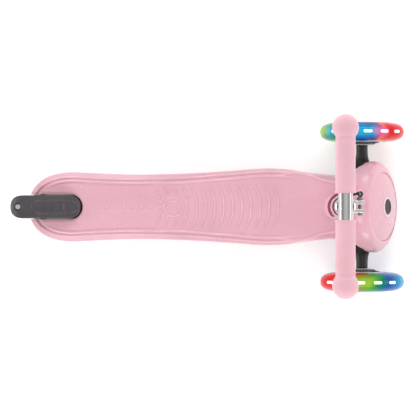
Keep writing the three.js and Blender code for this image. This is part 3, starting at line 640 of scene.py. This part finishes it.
def build_deck():
    left, left_faces, front = deck_half(1)
    right, right_faces, _ = deck_half(-1)
    vertices = [*map(tuple, left), *map(tuple, right), *deck_front(front)]
    offset = len(left)
    faces = left_faces + [tuple(index + offset for index in face) for face in right_faces]
    faces.append(tuple(range(offset + len(right), len(vertices))))
    deck = finish_mesh("deck_skin", mesh_from("deck_skin", vertices, faces), *SHELL, sharp=40,
                       weld=0.00001, replaces=["deck_board"])
    carve(deck, truck_room(-17))


def truck_room(back):
    """The space that the steering truck turns in, open downwards."""
    corners = [tilted(t, y, b) for t in (back, 14) for y in (-90, 90) for b in (-70, 27)]
    faces = [(0, 1, 3, 2), (4, 6, 7, 5), (0, 4, 5, 1), (2, 3, 7, 6), (0, 2, 6, 4), (1, 5, 7, 3)]
    return mesh_from("truck_room", corners, faces)


def build_socket():
    """The small ring round the stem's foot."""
    profile = [(13.2, -22), (21, -22), (19, -15), (17.4, -11), (15.8, -8.4), (14.4, -7.6), (13.2, -8)]
    lathe("stem_socket", stem_point(0.11), STEM_AXIS, profile, 72, *SHELL, sharp=50)


def build_cheeks():
    """The two plates under the tail that carry the rear axle."""
    axle_x, axle_z = REAR_AXLE.x / MM, REAR_AXLE.z / MM
    outline = [(-186, 58), (-205, 49.5), (-222, 37)]
    outline += [(axle_x + 12 * math.cos(angle), axle_z + 12 * math.sin(angle))
                for angle in np.linspace(-0.5, -math.pi, 15)]
    outline += [(-250.5, 60), (-240, 62)]
    for word, side in (("left", 1), ("right", -1)):
        mesh = prism(f"cheek_{word}", outline, side * (SLOT + 0.4), side * 26.8, across=True)
        bevel(finish_mesh(f"cheek_{word}", mesh, *SHELL), 1.2)


def build_ribs():
    """The strengthening ribs moulded under the deck."""
    spans = [(-176, 150, -1.3, 1.3)] + [(x - 1.3, x + 1.3, -41, 41) for x in range(-137, 150, 52)]
    for index, (x0, x1, y0, y1) in enumerate(spans):
        outline = [(x0, y0), (x1, y0), (x1, y1), (x0, y1)]
        mesh = prism(f"deck_rib_{index}", outline, 66.8, 68.4)
        bevel(finish_mesh(f"deck_rib_{index}", mesh, *SHELL), 0.4, 2)


# ------------------------------------------------------------------ nose

NOSE_WIDTH = curve_through([
    (-40, 44), (-14, 50), (-6, 54), (2, 58.7), (9, 63), (15, 65.3), (22, 65.5), (28, 65.2)])
NOSE_HEIGHT = curve_through([(-40, 46), (-14, 49), (-6, 50), (2, 51), (9, 51.5), (28, 51.5)])
NOSE_POWER = 2.6
CANOPY_EDGE = 27
RING_BACK = 13
SHOULDER = 19
NOSE_FRONT = 33.8
DISC_RADIUS = 49.4
DISC_SEAT = 32.8
DISC_RISE = 7.2
ROLL_START = 46
ROLL_DROP = 0.5
SIDE_COLUMNS = 26


def nose_section(t, angle):
    """A point (y, b) of the nose's section; the angle runs from the side at 0 to the top."""
    power = 2 / NOSE_POWER if angle > 0 else 1.0
    y = float(NOSE_WIDTH(t)) * max(math.cos(angle), 0) ** power
    b = float(NOSE_HEIGHT(t)) * signed_power(math.sin(angle), power)
    return y, b


def canopy_angle(t):
    """Where the section crosses the canopy's lower edge."""
    return math.asin((CANOPY_EDGE / float(NOSE_HEIGHT(t))) ** (NOSE_POWER / 2))


def canopy_turn(t, share):
    """The section's angle at a share of the way from the canopy's lower edge to its top."""
    low = canopy_angle(t)
    return low + share * (math.pi / 2 - low)


def seam_distance(b):
    """How far along the axis the plane of the seam lies, at the level b."""
    return (SEAM + 0.3 - STEER_CENTRE.x / MM + b * STEER_AXIS.z) / STEER_AXIS.x


def seam_start(share):
    """The distance t at which a column of the canopy meets the seam."""
    t = 5.0
    for _ in range(12):
        t = seam_distance(nose_section(t, canopy_turn(t, share))[1])
    return t


def nose_point(t, y, b):
    lift = 5.5 * math.exp(-(abs(y) / 21) ** 5) * (1 - float(ease(t, 15, 29)))
    return tilted(t, y, b) + Vector((0, 0, lift * MM)) * (1 if b > 0 else 0)


def build_nose():
    shares = [math.sin(math.pi / 2 * k / SIDE_COLUMNS) for k in range(SIDE_COLUMNS + 1)]
    starts = [seam_start(share) for share in shares]
    signed = [(-1, k) for k in range(SIDE_COLUMNS)] + [(1, k) for k in range(SIDE_COLUMNS, -1, -1)]
    vertices = []
    canopy_rows = 14
    for row in range(canopy_rows):
        for side, k in signed:
            t = starts[k] + (RING_BACK - starts[k]) * row / canopy_rows
            y, b = nose_section(t, canopy_turn(t, shares[k]))
            vertices.append(nose_point(t, side * y, b))
    top_columns = len(signed)
    bottom = 46
    ring_columns = top_columns + bottom
    steps = [RING_BACK + (SHOULDER - RING_BACK) * k / 8 for k in range(9)]
    rows = [(t, 0.0) for t in steps] + [(None, math.pi / 2 * k / 12) for k in range(1, 13)]
    for t, turn in rows:
        here = SHOULDER if t is None else t
        low = canopy_angle(here)
        below = [low - (low + math.pi / 2) * k / (bottom / 2 + 0.5) for k in range(1, bottom // 2 + 1)]
        section = [(side, canopy_turn(here, shares[k])) for side, k in signed]
        section += [(1, angle) for angle in below] + [(-1, angle) for angle in reversed(below)]
        for side, angle in section:
            y, b = nose_section(here, angle)
            along = SHOULDER + (NOSE_FRONT - SHOULDER) * math.sin(turn) if t is None else t
            reach = math.hypot(y, b)
            rim = DISC_RADIUS + 0.25
            scale = 1 - (1 - rim / reach) * (1 - math.cos(turn)) if turn else 1
            vertices.append(nose_point(along, side * y * scale, b * scale))
    faces = strip_faces(canopy_rows, top_columns)
    base = canopy_rows * top_columns
    for k in range(top_columns - 1):
        a = (canopy_rows - 1) * top_columns + k
        faces.append((a, a + 1, base + k + 1, base + k))
    faces += strip_faces(len(rows), ring_columns, True, base)
    nose = finish_mesh("nose_skin", mesh_from("nose_skin", vertices, faces), *SHELL, sharp=45,
                       replaces=["nose_shell"])
    thickness = nose.modifiers.new("wall", "SOLIDIFY")
    thickness.thickness = 3.2 * MM
    thickness.offset = -1
    bevel(nose, 0.7, 2, 50)


def dome(radius):
    """The domed front face's distance along the axis, at a radius from it; the edge is rolled back."""
    sphere = (DISC_RADIUS**2 + DISC_RISE**2) / (2 * DISC_RISE)
    edge = min(max(radius - ROLL_START, 0) / (DISC_RADIUS - ROLL_START), 1)
    fall = sphere - math.sqrt(sphere**2 - radius**2)
    return DISC_SEAT + DISC_RISE - fall - ROLL_DROP * roll(edge, 0.97)


def build_disc():
    hole = 15.2
    radii = [hole + (ROLL_START - hole) * k / 16 for k in range(17)]
    radii += [ROLL_START + (DISC_RADIUS - 0.3 - ROLL_START) * k / 10 for k in range(1, 11)]
    face = [(radius, dome(radius)) for radius in radii]
    rim = [(DISC_RADIUS, dome(DISC_RADIUS)), (DISC_RADIUS, dome(DISC_RADIUS) - 2)]
    back = [(radius, dome(radius) - 3) for radius in reversed(radii)]
    lathe("disc_cover", STEER_CENTRE, STEER_AXIS, face + rim + back, 128,
          "disc", "deck", "pink_shell", sharp=40, replaces=["nose_disc"])
    ring = [(10.9, 35.5), (10.9, 39.9), (11.6, 41.0), (12.9, 41.4), (14.2, 40.9), (14.9, 39.8), (14.9, 35.5)]
    lathe("disc_ring", STEER_CENTRE, STEER_AXIS, ring, 96,
          "ring", "deck", "pale_pink_plastic", sharp=50, replaces=["lock_ring"])
    dish = [(0, 40.3), (4, 40.4), (7, 40.9), (8.6, 41.4), (9.4, 41.6), (10, 41.3), (10.3, 40.6), (10.3, 33.6),
            (0, 33.6)]
    lathe("button_cap", STEER_CENTRE, STEER_AXIS, dish, 64,
          "button", "lock", "charcoal_plastic", sharp=50, replaces=["lock_button"])


# ------------------------------------------------------------------ truck

ARM_WIDTH = curve_through([
    (0, 17), (26, 15), (50, 12.5), (62, 11.8), (70, 9.4), (77, 8.5), (89, 8.4)])
ARM_LENGTH = 88.8
ARM_HALF_HEIGHT = 8.0


def build_truck():
    """The steering beam: flat in the middle, round at the axle ends, with a shallow groove on top."""
    rings = []
    stations = [ARM_LENGTH * math.sin(math.pi / 2 * k / 34) for k in range(-34, 35)]
    for y in stations:
        width = float(ARM_WIDTH(abs(y)))
        power = 4.0 - 2.0 * float(ease(abs(y), 52, 74))
        groove = float(ease(72 - abs(y), 0, 8)) * float(ease(abs(y), 20, 30))
        end = 1 - 0.1 * float(ease(abs(y), ARM_LENGTH - 1.2, ARM_LENGTH))
        ring = []
        for k in range(48):
            angle = 2 * math.pi * k / 48
            x = width * signed_power(math.cos(angle), 2 / power)
            z = ARM_HALF_HEIGHT * signed_power(math.sin(angle), 2 / power)
            if z > 0:
                z -= 1.6 * (1 - abs(x / width) ** 6) * groove
            ring.append(STEER_CENTRE + Vector((x * end * MM, y * MM, z * end * MM)))
        rings.append(ring)
    finish_mesh("truck_arms", loft("truck_arms", rings), "black", "truck", "black_plastic",
                sharp=50, replaces=["truck_beam"])
    hub = rounded([(6.6, -13.8), (15.4, -13.8), (15.4, 7.8), (22, 7.8), (22, 11.8), (6.6, 11.8)], 1.2)
    lathe("truck_hub", STEER_CENTRE, STEER_AXIS, hub, 64, "black", "truck", "black_plastic")


# ------------------------------------------------------------------ wheels

FRONT_RADIUS = 60.5
FRONT_HALF = 13.7
TYRE_BORE = 34
WINDOWS = 15
WINDOW_LENGTH = 12.4
WINDOW_HALF = 1.9
SPOKE_FOOT, SPOKE_TIP = 14.6, 28.6


RED, ORANGE, PINK = srgb(222, 24, 32), srgb(240, 116, 36), srgb(228, 104, 158)
LIME, GREEN, TEAL = srgb(146, 196, 48), srgb(28, 142, 62), srgb(0, 112, 122)
CYAN, BLUE, NAVY = srgb(24, 168, 216), srgb(0, 82, 162), srgb(22, 50, 126)
DEEP_RED, VIOLET, BROWN = srgb(186, 18, 30), srgb(72, 62, 146), srgb(156, 100, 40)
# The colours round each lit tyre: (share of a turn, colour at the middle, colour at the sides).
LEFT_GLOW = [
    (0.0, GREEN, GREEN), (0.22, LIME, GREEN), (0.31, LIME, GREEN), (0.345, CYAN, GREEN),
    (0.385, GREEN, GREEN), (0.43, CYAN, BLUE), (0.505, CYAN, BLUE), (0.535, CYAN, NAVY),
    (0.56, PINK, VIOLET), (0.585, PINK, ORANGE), (0.61, RED, RED), (0.76, RED, DEEP_RED),
    (0.9, ORANGE, RED), (0.96, LIME, GREEN)]
RIGHT_GLOW = [
    (0.0, BLUE, NAVY), (0.14, VIOLET, NAVY), (0.22, RED, DEEP_RED), (0.37, RED, RED),
    (0.42, ORANGE, RED), (0.465, LIME, BROWN), (0.515, LIME, GREEN), (0.56, GREEN, GREEN),
    (0.59, TEAL, TEAL), (0.62, BLUE, BLUE), (0.67, CYAN, BLUE), (0.75, BLUE, NAVY), (0.9, BLUE, NAVY)]


def tread_point(turn, outer, inner, half):
    """The tyre's section: a full, rounded tread. Turn runs from one side at -90 degrees to the other."""
    radius = inner + (outer - inner) * max(math.cos(turn), 0) ** 0.8
    return radius, half * signed_power(math.sin(turn), 0.8)


def tyre_mesh(name, centre, outer, inner, half):
    profile = [tread_point(turn, outer, inner, half) for turn in np.linspace(-math.pi / 2, math.pi / 2, 41)]
    profile[0] = (inner + 0.8, -half)
    profile[-1] = (inner + 0.8, half)
    profile += [(inner, half - 0.8), (inner, -half + 0.8)]
    return turned(name, centre, ACROSS, profile, 160)


def window_mesh(name, centre, angles):
    """Lamp windows at the given angles: rounded lozenges bent round the tread, standing just proud."""
    vertices = []
    faces = []
    cap = WINDOW_LENGTH / 2 - WINDOW_HALF
    for degrees in angles:
        middle_angle = math.radians(degrees)
        rings = []
        for half, radius in ((WINDOW_HALF, FRONT_RADIUS - 1.2), (WINDOW_HALF, FRONT_RADIUS - 0.16),
                             (WINDOW_HALF - 0.5, FRONT_RADIUS - 0.02), (WINDOW_HALF * 0.5, FRONT_RADIUS)):
            ring = []
            for k in range(28):
                turn = 2 * math.pi * k / 28
                along = math.copysign(cap, math.cos(turn)) + half * math.cos(turn)
                across = half * math.sin(turn)
                angle = middle_angle + along / FRONT_RADIUS
                spot = Vector((radius * math.sin(angle), across, radius * math.cos(angle)))
                ring.append(centre + spot * MM)
            rings.append(ring)
        points, skin = ring_skin(rings, len(vertices))
        vertices += points
        faces += skin
    return mesh_from(name, vertices, faces)


def spoke_rings(centre, side, angle, back, front):
    """One bowed spoke from the barrel to the rim; back and front give its faces as local y."""
    rings = []
    for share in np.linspace(0, 1, 9):
        radius = SPOKE_FOOT + (SPOKE_TIP - SPOKE_FOOT) * share
        width = 3.6 - 1.3 * math.sin(math.pi * share)
        y_back, y_front = back(radius), front(radius)
        out = Vector((math.sin(angle), 0, math.cos(angle)))
        along = Vector((math.cos(angle), 0, -math.sin(angle)))
        ring = []
        for k in range(16):
            turn = 2 * math.pi * k / 16
            across = width * signed_power(math.cos(turn), 0.6)
            level = signed_power(math.sin(turn), 0.6)
            y = (y_back + y_front) / 2 + level * (y_front - y_back) / 2
            ring.append(centre + (out * radius + along * across) * MM + ACROSS * (side * y * MM))
        rings.append(ring)
    return rings


def six_spokes(centre, side, first, back, front):
    """Spokes 60 degrees apart, the first at the given angle in degrees."""
    return [loft("spoke", spoke_rings(centre, side, math.radians(first + 60 * k), back, front))
            for k in range(6)]


def merge(name, meshes):
    """Joins several meshes into one."""
    work = bmesh.new()
    for mesh in meshes:
        work.from_mesh(mesh)
        bpy.data.meshes.remove(mesh)
    mesh = bpy.data.meshes.new(name)
    work.to_mesh(mesh)
    work.free()
    return mesh


def build_front_wheel(word, side, stops, phase):
    centre = Vector(JOINTS[f"front_wheel_{word}_spin"]["pos_m"])
    outward = ACROSS * side
    body = f"front_wheel_{word}"
    glow = f"lit_tyre_{word}_look"
    MATERIALS[glow] = tyre_glow(glow, stops, centre, 0.05)
    finish_mesh(f"tyre_{word}", tyre_mesh("tyre", centre, FRONT_RADIUS - 0.35, TYRE_BORE, FRONT_HALF),
                glow, body, "lit_tyre", sharp=60, replaces=[f"front_tyre_{word}"])
    angles = [(phase + 360 / WINDOWS * k + 180) % 360 - 180 for k in range(WINDOWS)]
    dim = [angle for angle in angles if 60 < abs(angle) < 100]
    finish_mesh(f"lit_windows_{word}", window_mesh("windows", centre, [a for a in angles if a not in dim]),
                "window", body, "light_window", sharp=40)
    finish_mesh(f"dim_windows_{word}", window_mesh("windows", centre, dim), glow, body, "lit_tyre", sharp=40)
    rim = rounded([(28, -13.2), (29.6, -14.6), (31, -13.2), (31, 11.8), (28, 11.8)], 0.9)
    barrel = rounded([(11.4, -18.9), (15.4, -18.9), (15.4, 12.2), (11.4, 12.2)], 0.8)
    meshes = [turned("rim", centre, outward, rim, 96), turned("barrel", centre, outward, barrel, 64)]
    meshes += six_spokes(centre, side, 30, lambda r: -6.5 - (r - 15) * 0.1, lambda r: 8.5)
    finish_mesh(f"wheel_core_{word}", merge(f"wheel_core_{word}", meshes), "hub", body, "hub_plastic",
                sharp=40, replaces=[f"front_hub_{word}"])
    boss = rounded([(15.6, -18.4), (19, -17.6), (19.6, -14.5), (15.6, -14.5)], 0.7)
    spider = [turned("boss", centre, outward, boss, 64)]
    spider += six_spokes(centre, side, 0, lambda r: -18 + (r - 15) * 0.24, lambda r: -12.5 + (r - 15) * 0.1)
    finish_mesh(f"wheel_spider_{word}", merge(f"wheel_spider_{word}", spider), "hub_dark", body,
                "charcoal_plastic", sharp=40)
    cap = [(0, 13.3), (6, 13.4), (9, 13.7), (11.4, 13.7), (12.6, 13.1), (13.6, 13.6), (14.3, 13.4),
           (14.5, 12.9), (14.5, 12.6), (0, 12.6)]
    lathe(f"wheel_cap_{word}", centre, outward, cap, 64,
          "hub_dark", body, "charcoal_plastic", sharp=40, replaces=[f"hub_cap_{word}"])


def build_rear_wheel():
    finish_mesh("tyre_rear", tyre_mesh("tyre", REAR_AXLE, 39.9, 24, 12), "pale_tyre", "rear_wheel",
                "pale_tyre", sharp=60, replaces=["rear_tyre"])


# ------------------------------------------------------------------ rear brake

BRAKE_HALF = 16.6
BRAKE_BACK, BRAKE_FRONT = -283, -182
BRAKE_PIVOT_X, BRAKE_PIVOT_Z = -196, 72
SCREW_X = -271
BRAKE_TOP = curve_through([(-283, 78), (-277.5, 84.5), (-270, 88.6), (-259, 91.6), (-248, 93), (-235, 93),
                           (-222, 92.5), (-213, 92), (-205, 90.5), (-195, 86.8), (-187, 82.6), (-182, 79.4)])
BRAKE_THICK = 5.0


def brake_width(x):
    """Half the pedal's width: full along its length, round at both ends."""
    back = np.clip((-262 - x) / 21, 0, 1)
    front = np.clip((x + 199) / 17, 0, 1)
    return BRAKE_HALF * ((1 - back**2.6) * (1 - front**2.2)) ** (1 / 2.3)


def brake_height(x, y):
    width = brake_width(x)
    edge = np.minimum(width - np.abs(y), np.minimum(x - BRAKE_BACK, BRAKE_FRONT - x) * 0.9)
    corner = np.clip(1 - edge / 2.6, 0, 1)
    height = BRAKE_TOP(x) - 1.2 - 2.4 * roll(corner)
    along = np.clip(np.maximum(-240.5 - x, x + 196.5), 0, None)
    from_outline = np.hypot(along, y) - 10.2
    height = height + 1.2 * ridge(from_outline, 2.4) - 0.5 * (1 - ease(from_outline, -3.5, -1.2))
    for index in range(4):
        height = height + 1.1 * ridge(x + 232 - 9 * index, 3.0) * (1 - ease(np.abs(y), 5, 7.2))
    from_screw = np.hypot(x - SCREW_X, y)
    return height - 1.6 * (1 - ease(from_screw, 4.9, 5.9)) + 0.5 * ridge(from_screw - 7.4, 2.2)


def build_brake():
    columns = 49
    xs = BRAKE_BACK + (BRAKE_FRONT - BRAKE_BACK) * (1 - np.cos(np.linspace(0, math.pi, 111))) / 2
    spread = np.sin(np.linspace(-math.pi / 2, math.pi / 2, columns))
    grid_x = np.repeat(xs[:, None], columns, 1)
    grid_y = brake_width(xs)[:, None] * spread[None, :]
    top = brake_height(grid_x, grid_y)
    top = np.maximum(top, BRAKE_TOP(grid_x) - BRAKE_THICK + 0.4)
    under = np.repeat((BRAKE_TOP(xs) - BRAKE_THICK)[:, None], columns, 1)
    upper = np.stack([grid_x, grid_y, top], 2).reshape(-1, 3) * MM
    lower = np.stack([grid_x, grid_y, under], 2).reshape(-1, 3) * MM
    rows = len(xs)
    faces = strip_faces(rows, columns) + strip_faces(rows, columns, start=rows * columns)
    edge = list(range(columns)) + [r * columns + columns - 1 for r in range(1, rows)]
    edge += [(rows - 1) * columns + k for k in range(columns - 2, -1, -1)]
    edge += [r * columns for r in range(rows - 2, 0, -1)]
    for a, b in zip(edge, edge[1:] + edge[:1]):
        faces.append((a, b, b + rows * columns, a + rows * columns))
    meshes = [mesh_from("pedal", np.vstack([upper, lower]), faces)]
    for side in (-1, 1):
        ear = [(-203, 89), (-188.5, 84), (-189, 72)]
        ear += [(BRAKE_PIVOT_X + 5.4 * math.cos(a), BRAKE_PIVOT_Z + 5.4 * math.sin(a))
                for a in np.linspace(0, -math.pi, 9)]
        ear += [(-203, 80)]
        meshes.append(prism("ear", ear, side * 9.3, side * 14.8, across=True))
    finish_mesh("brake_pedal", merge("brake_pedal", meshes), "charcoal", "brake", "charcoal_plastic",
                sharp=42, weld=0.000002, replaces=["brake_lever"])
    screw_foot = Vector((SCREW_X * MM, 0, float(BRAKE_TOP(SCREW_X)) * MM))
    head = [(0, -1.2), (1.3, -1.3), (1.5, 0.2), (2.6, 0.5), (3.5, 0.2), (3.9, -0.6), (3.9, -2.4), (0, -2.4)]
    lathe("pedal_screw", screw_foot, UP, head, 48,
          "chrome", "brake", "bright_metal", sharp=40, replaces=["brake_screw"])


# ------------------------------------------------------------------ stem and T-bar

def build_stem():
    low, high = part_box("lower_stem_tube")
    foot = stem_point(low.z)
    length = (high.z - low.z) / MM - 0.4
    sleeve = rounded([(11.4, 0.2), (12.7, 0.2), (12.7, length), (11.4, length)], 0.5)
    lathe("stem_sleeve", foot, STEM_AXIS, sleeve, 72,
          "pink_tube", "deck", "pink_tube", replaces=["lower_stem_tube"])
    low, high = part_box("upper_stem_tube")
    foot = stem_point(low.z)
    length = (BAR.z - low.z) / MM
    tube = rounded([(9.7, 0.3), (11, 0.3), (11, length), (9.7, length)], 0.4)
    lathe("stem_riser", foot, STEM_AXIS, tube, 72,
          "stem_metal", "tbar", "bright_metal", replaces=["upper_stem_tube"])


GRIP_RADIUS = 12.0
BALL_RADIUS = 16.0
BALL_PLACE = 94.8
GRIP_START = 16.2


def grip_radius(place):
    """The grip's radius: a plain sleeve with a lip inboard and a fine seam where it meets its ball."""
    ball = math.sqrt(max(BALL_RADIUS**2 - (place - BALL_PLACE) ** 2, 0))
    lip = 0.7 * math.exp(-((place - 17.4) / 1.3) ** 2)
    sleeve = GRIP_RADIUS + lip - 0.3 * math.exp(-((place - 81.6) / 0.7) ** 2)
    share = min(max(0.5 + (ball - sleeve) / 3.2, 0), 1)
    return sleeve * (1 - share) + ball * share + 0.8 * share * (1 - share)


def build_tbar():
    bar = rounded([(7.4, -30), (9, -30), (9, 30), (7.4, 30)], 0.4)
    lathe("cross_tube", BAR, ACROSS, bar, 72, "chrome", "tbar", "bright_metal", replaces=["crossbar"])
    collar = [(11.2, -7.2), (11.9, -7.8), (12.2, -9), (12.2, -15), (11.6, -16), (11.1, -16.2), (10, -16.2),
              (10, -7.2)]
    lathe("tee_weld", BAR, STEM_AXIS, collar, 64, "chrome", "tbar", "bright_metal")
    for word, side in (("left", 1), ("right", -1)):
        places = [GRIP_START + (BALL_PLACE + 8 - GRIP_START) * k / 88 for k in range(89)]
        skin = [(grip_radius(place), place) for place in places]
        skin += [(BALL_RADIUS * math.cos(a), BALL_PLACE + BALL_RADIUS * math.sin(a))
                 for a in np.linspace(math.radians(33), math.pi / 2, 12)[:-1]]
        skin.append((0, BALL_PLACE + BALL_RADIUS))
        lathe(f"grip_sleeve_{word}", BAR, ACROSS * side, [(0, GRIP_START)] + skin, 96,
              "grip", "tbar", "pink_grip", sharp=50, weld=0.00001, replaces=[f"grip_{word}"])


# ------------------------------------------------------------------ the T-bar's clamp

CLAMP_HEIGHT = 0.43
COLLAR_HALF = 11
COLLAR_OUTER = 14.4
BOLT_X = 23.5
PIN_Y = 16.3
LEVER_INNER, LEVER_OUTER = 14.9, 18.4
CAM_RADIUS = 4.0
CAM_END = 76
LEVER_HALF = 7
CAM_SLOT_HALF = 3.4


def clamp_place(mesh):
    """Moves a mesh from the clamp's own frame, in millimetres, to its place on the stem."""
    forward = ACROSS.cross(STEM_AXIS)
    turn = Matrix((forward, ACROSS, STEM_AXIS)).transposed().to_4x4()
    mesh.transform(Matrix.Translation(stem_point(CLAMP_HEIGHT)) @ turn)
    return mesh


def arc(radius, start, end, steps, centre=(0, 0)):
    return [(centre[0] + radius * math.cos(math.radians(a)), centre[1] + radius * math.sin(math.radians(a)))
            for a in np.linspace(start, end, steps)]


def build_collar():
    """The split collar with its two flared ears."""
    ear = [(29.2, -2.8), (29.2, -8.2), (21, -7.6), (16, -8), (13, -8.7)]
    outline = arc(12.95, 13, 347, 60) + ear + arc(COLLAR_OUTER, -41, -319, 60)
    outline += [(x, -y) for x, y in reversed(ear)]
    mesh = clamp_place(prism("collar_band", outline, -COLLAR_HALF + 0.1, COLLAR_HALF - 0.1))
    bevel(finish_mesh("collar_band", mesh, "aluminium", "deck", "clamp_aluminium",
                      replaces=["clamp_collar"]), 1.0, 3)


def build_clamp_cap():
    low, high = COLLAR_HALF + 0.3, COLLAR_HALF + 4
    ring = [(12.3, low), (14.4, low), (14.4, high - 1.4), (14.2, high - 0.6), (13.8, high - 0.15), (13, high),
            (12.3, high - 0.3)]
    mesh = clamp_place(turned("cap_ring", Vector(), UP, ring, 72))
    finish_mesh("cap_ring", mesh, *SHELL, sharp=50, replaces=["clamp_cap"])
    bush = rounded([(11.35, low), (12.2, low), (12.2, high + 0.5), (11.35, high + 0.5)], 0.4)
    mesh = clamp_place(turned("cap_bush", Vector(), UP, bush, 72))
    finish_mesh("cap_bush", mesh, "black", "deck", "black_plastic", sharp=50, replaces=["clamp_bush"])


def lever_piece(name, outline, material, slot):
    """Part of the lever, drawn from above; it gets thinner towards the tip."""
    mesh = prism(name, outline, -LEVER_HALF, LEVER_HALF)
    for vertex in mesh.vertices:
        angle = math.degrees(math.atan2(vertex.co.y, vertex.co.x)) % 360
        vertex.co.z *= 1 - 0.32 * float(ease(angle, 120, 230))
    piece = finish_mesh(name, clamp_place(mesh), material, "quick_release", slot, replaces=["clamp_lever"])
    bevel(piece, 0.9, 4)
    apply_modifiers(piece)
    return piece


def build_lever():
    """The quick-release lever: a dark cam on the clamp's pin, and an arm wrapped round the collar."""
    cam = arc(CAM_RADIUS, -90, 78, 14, (BOLT_X, PIN_Y)) + arc(LEVER_OUTER, 60, CAM_END, 6)
    cam += arc(LEVER_INNER, CAM_END, 50, 8) + [(BOLT_X - 4.2, PIN_Y - 1)]
    piece = lever_piece("release_cam", cam, "black", "black_plastic")
    slot = [(BOLT_X - 6.5, 8), (BOLT_X + 10, 8), (BOLT_X + 10, PIN_Y + 10), (BOLT_X - 6.5, PIN_Y + 10)]
    carve(piece, clamp_place(prism("slot", slot, -CAM_SLOT_HALF, CAM_SLOT_HALF)))
    pin = [(0, -12), (1.8, -12), (1.8, 12), (0, 12)]
    carve(piece, clamp_place(turned("pin", Vector((BOLT_X * MM, PIN_Y * MM, 0)), UP, pin, 32)))
    tip = [(17.6, 230), (16.9, 234.5), (16.2, 233), (15.4, 223)]
    arm = arc(LEVER_OUTER, CAM_END + 0.3, 222, 50)
    arm += [(r * math.cos(math.radians(a)), r * math.sin(math.radians(a))) for r, a in tip]
    arm += arc(LEVER_INNER, 212, CAM_END + 0.3, 46)
    lever_piece("release_lever", arm, "raspberry", "raspberry_plastic")


# ------------------------------------------------------------------ the CAD pieces that keep their shape

SLOT_LOOKS = {
    "steel": "steel", "bearing_steel": "steel", "charcoal_plastic": "charcoal", "black_plastic": "black",
    "black_rubber": "black_rubber", "light_window": "window", "hub_plastic": "hub", "bright_metal": "chrome",
    "clamp_aluminium": "aluminium", "pale_tyre": "pale_tyre", "pink_shell": "shell", "pink_tube": "pink_tube",
}


def dress_cad_nodes():
    for row in frame["record"]["subparts"]:
        node = frame["nodes"][row["node"]]
        look = SLOT_LOOKS.get(row["material_slot"])
        if look and not node.hide_render:
            node.data.materials.clear()
            node.data.materials.append(MATERIALS[look])


# ------------------------------------------------------------------ the room

def build_floor():
    graph = Graph("floor_look")
    graph.link(graph.ramp(graph.noise(6.0), [(0.3, srgb(238, 238, 238)), (0.7, srgb(242, 242, 242))]),
               graph.shader.inputs["Base Color"])
    graph.set(Roughness=0.9, Emission_Color=(1, 1, 1, 1), Emission_Strength=0.38)
    reach = 6.0
    corners = [(-reach, -reach, 0), (reach, -reach, 0), (reach, reach, 0), (-reach, reach, 0)]
    mesh = mesh_from("floor", corners, [(0, 1, 2, 3)])
    mesh.materials.append(graph.material)
    floor = bpy.data.objects.new("floor", mesh)
    bpy.context.scene.collection.objects.link(floor)


LIGHT_TARGET = Vector((0, 0, 0.1))


def add_light(name, place, size, power):
    light = bpy.data.lights.new(name, "AREA")
    light.shape = "RECTANGLE"
    light.size, light.size_y = size
    light.energy = power
    lamp = bpy.data.objects.new(name, light)
    lamp.location = place
    lamp.rotation_euler = (LIGHT_TARGET - Vector(place)).to_track_quat("-Z", "Y").to_euler()
    bpy.context.scene.collection.objects.link(lamp)


def light_room():
    """A white studio: pale low down, dimmer higher up, brightest straight overhead, with four lamps."""
    world = bpy.data.worlds.new("studio")
    world.use_nodes = True
    nodes, links = world.node_tree.nodes, world.node_tree.links
    parts = nodes.new("ShaderNodeSeparateXYZ")
    links.new(nodes.new("ShaderNodeTexCoord").outputs["Generated"], parts.inputs["Vector"])
    ramp = nodes.new("ShaderNodeValToRGB")
    elements = ramp.color_ramp.elements
    stops = [(0.0, 0.74), (0.1, 0.74), (0.4, 0.62), (0.75, 0.5), (1.0, 0.9)]
    for place, _ in stops[1:-1]:
        elements.new(place)
    for element, (_, level) in zip(elements, stops):
        element.color = (level, level, level, 1)
    links.new(parts.outputs["Z"], ramp.inputs["Fac"])
    links.new(ramp.outputs["Color"], nodes["Background"].inputs["Color"])
    behind = nodes.new("ShaderNodeMapRange")
    for socket, value in (("From Min", -1.0), ("From Max", 0.1), ("To Min", 0.7), ("To Max", 1.0)):
        behind.inputs[socket].default_value = value
    links.new(parts.outputs["X"], behind.inputs["Value"])
    links.new(behind.outputs["Result"], nodes["Background"].inputs["Strength"])
    bpy.context.scene.world = world
    bpy.context.scene.view_settings.view_transform = "Standard"
    add_light("front", (2.5, 0, 1.0), (1.6, 0.4), 8)
    add_light("rear", (-2.4, 0, 1.0), (1.6, 0.4), 12)
    add_light("left", (-0.05, 1.6, 1.35), (2.2, 0.4), 15)
    add_light("right", (-0.05, -1.6, 1.35), (2.2, 0.4), 15)


CAMERA_PLACE = (0.0007, -0.0017, 3.6)
CAMERA_LENS = 212.6


def add_camera():
    """The camera looks straight down."""
    camera = bpy.data.cameras.new("camera")
    camera.sensor_width = 36
    camera.lens = CAMERA_LENS
    rig = bpy.data.objects.new("camera", camera)
    rig.location = CAMERA_PLACE
    bpy.context.scene.collection.objects.link(rig)
    bpy.context.scene.camera = rig


# ------------------------------------------------------------------ the whole scooter

def build_scooter():
    build_deck()
    build_socket()
    build_cheeks()
    build_ribs()
    build_nose()
    build_disc()
    build_truck()
    build_front_wheel("left", 1, LEFT_GLOW, 4.7)
    build_front_wheel("right", -1, RIGHT_GLOW, -5.2)
    build_rear_wheel()
    build_brake()
    build_stem()
    build_tbar()
    build_collar()
    build_clamp_cap()
    build_lever()
    dress_cad_nodes()


add_camera()
light_room()
build_floor()
build_scooter()
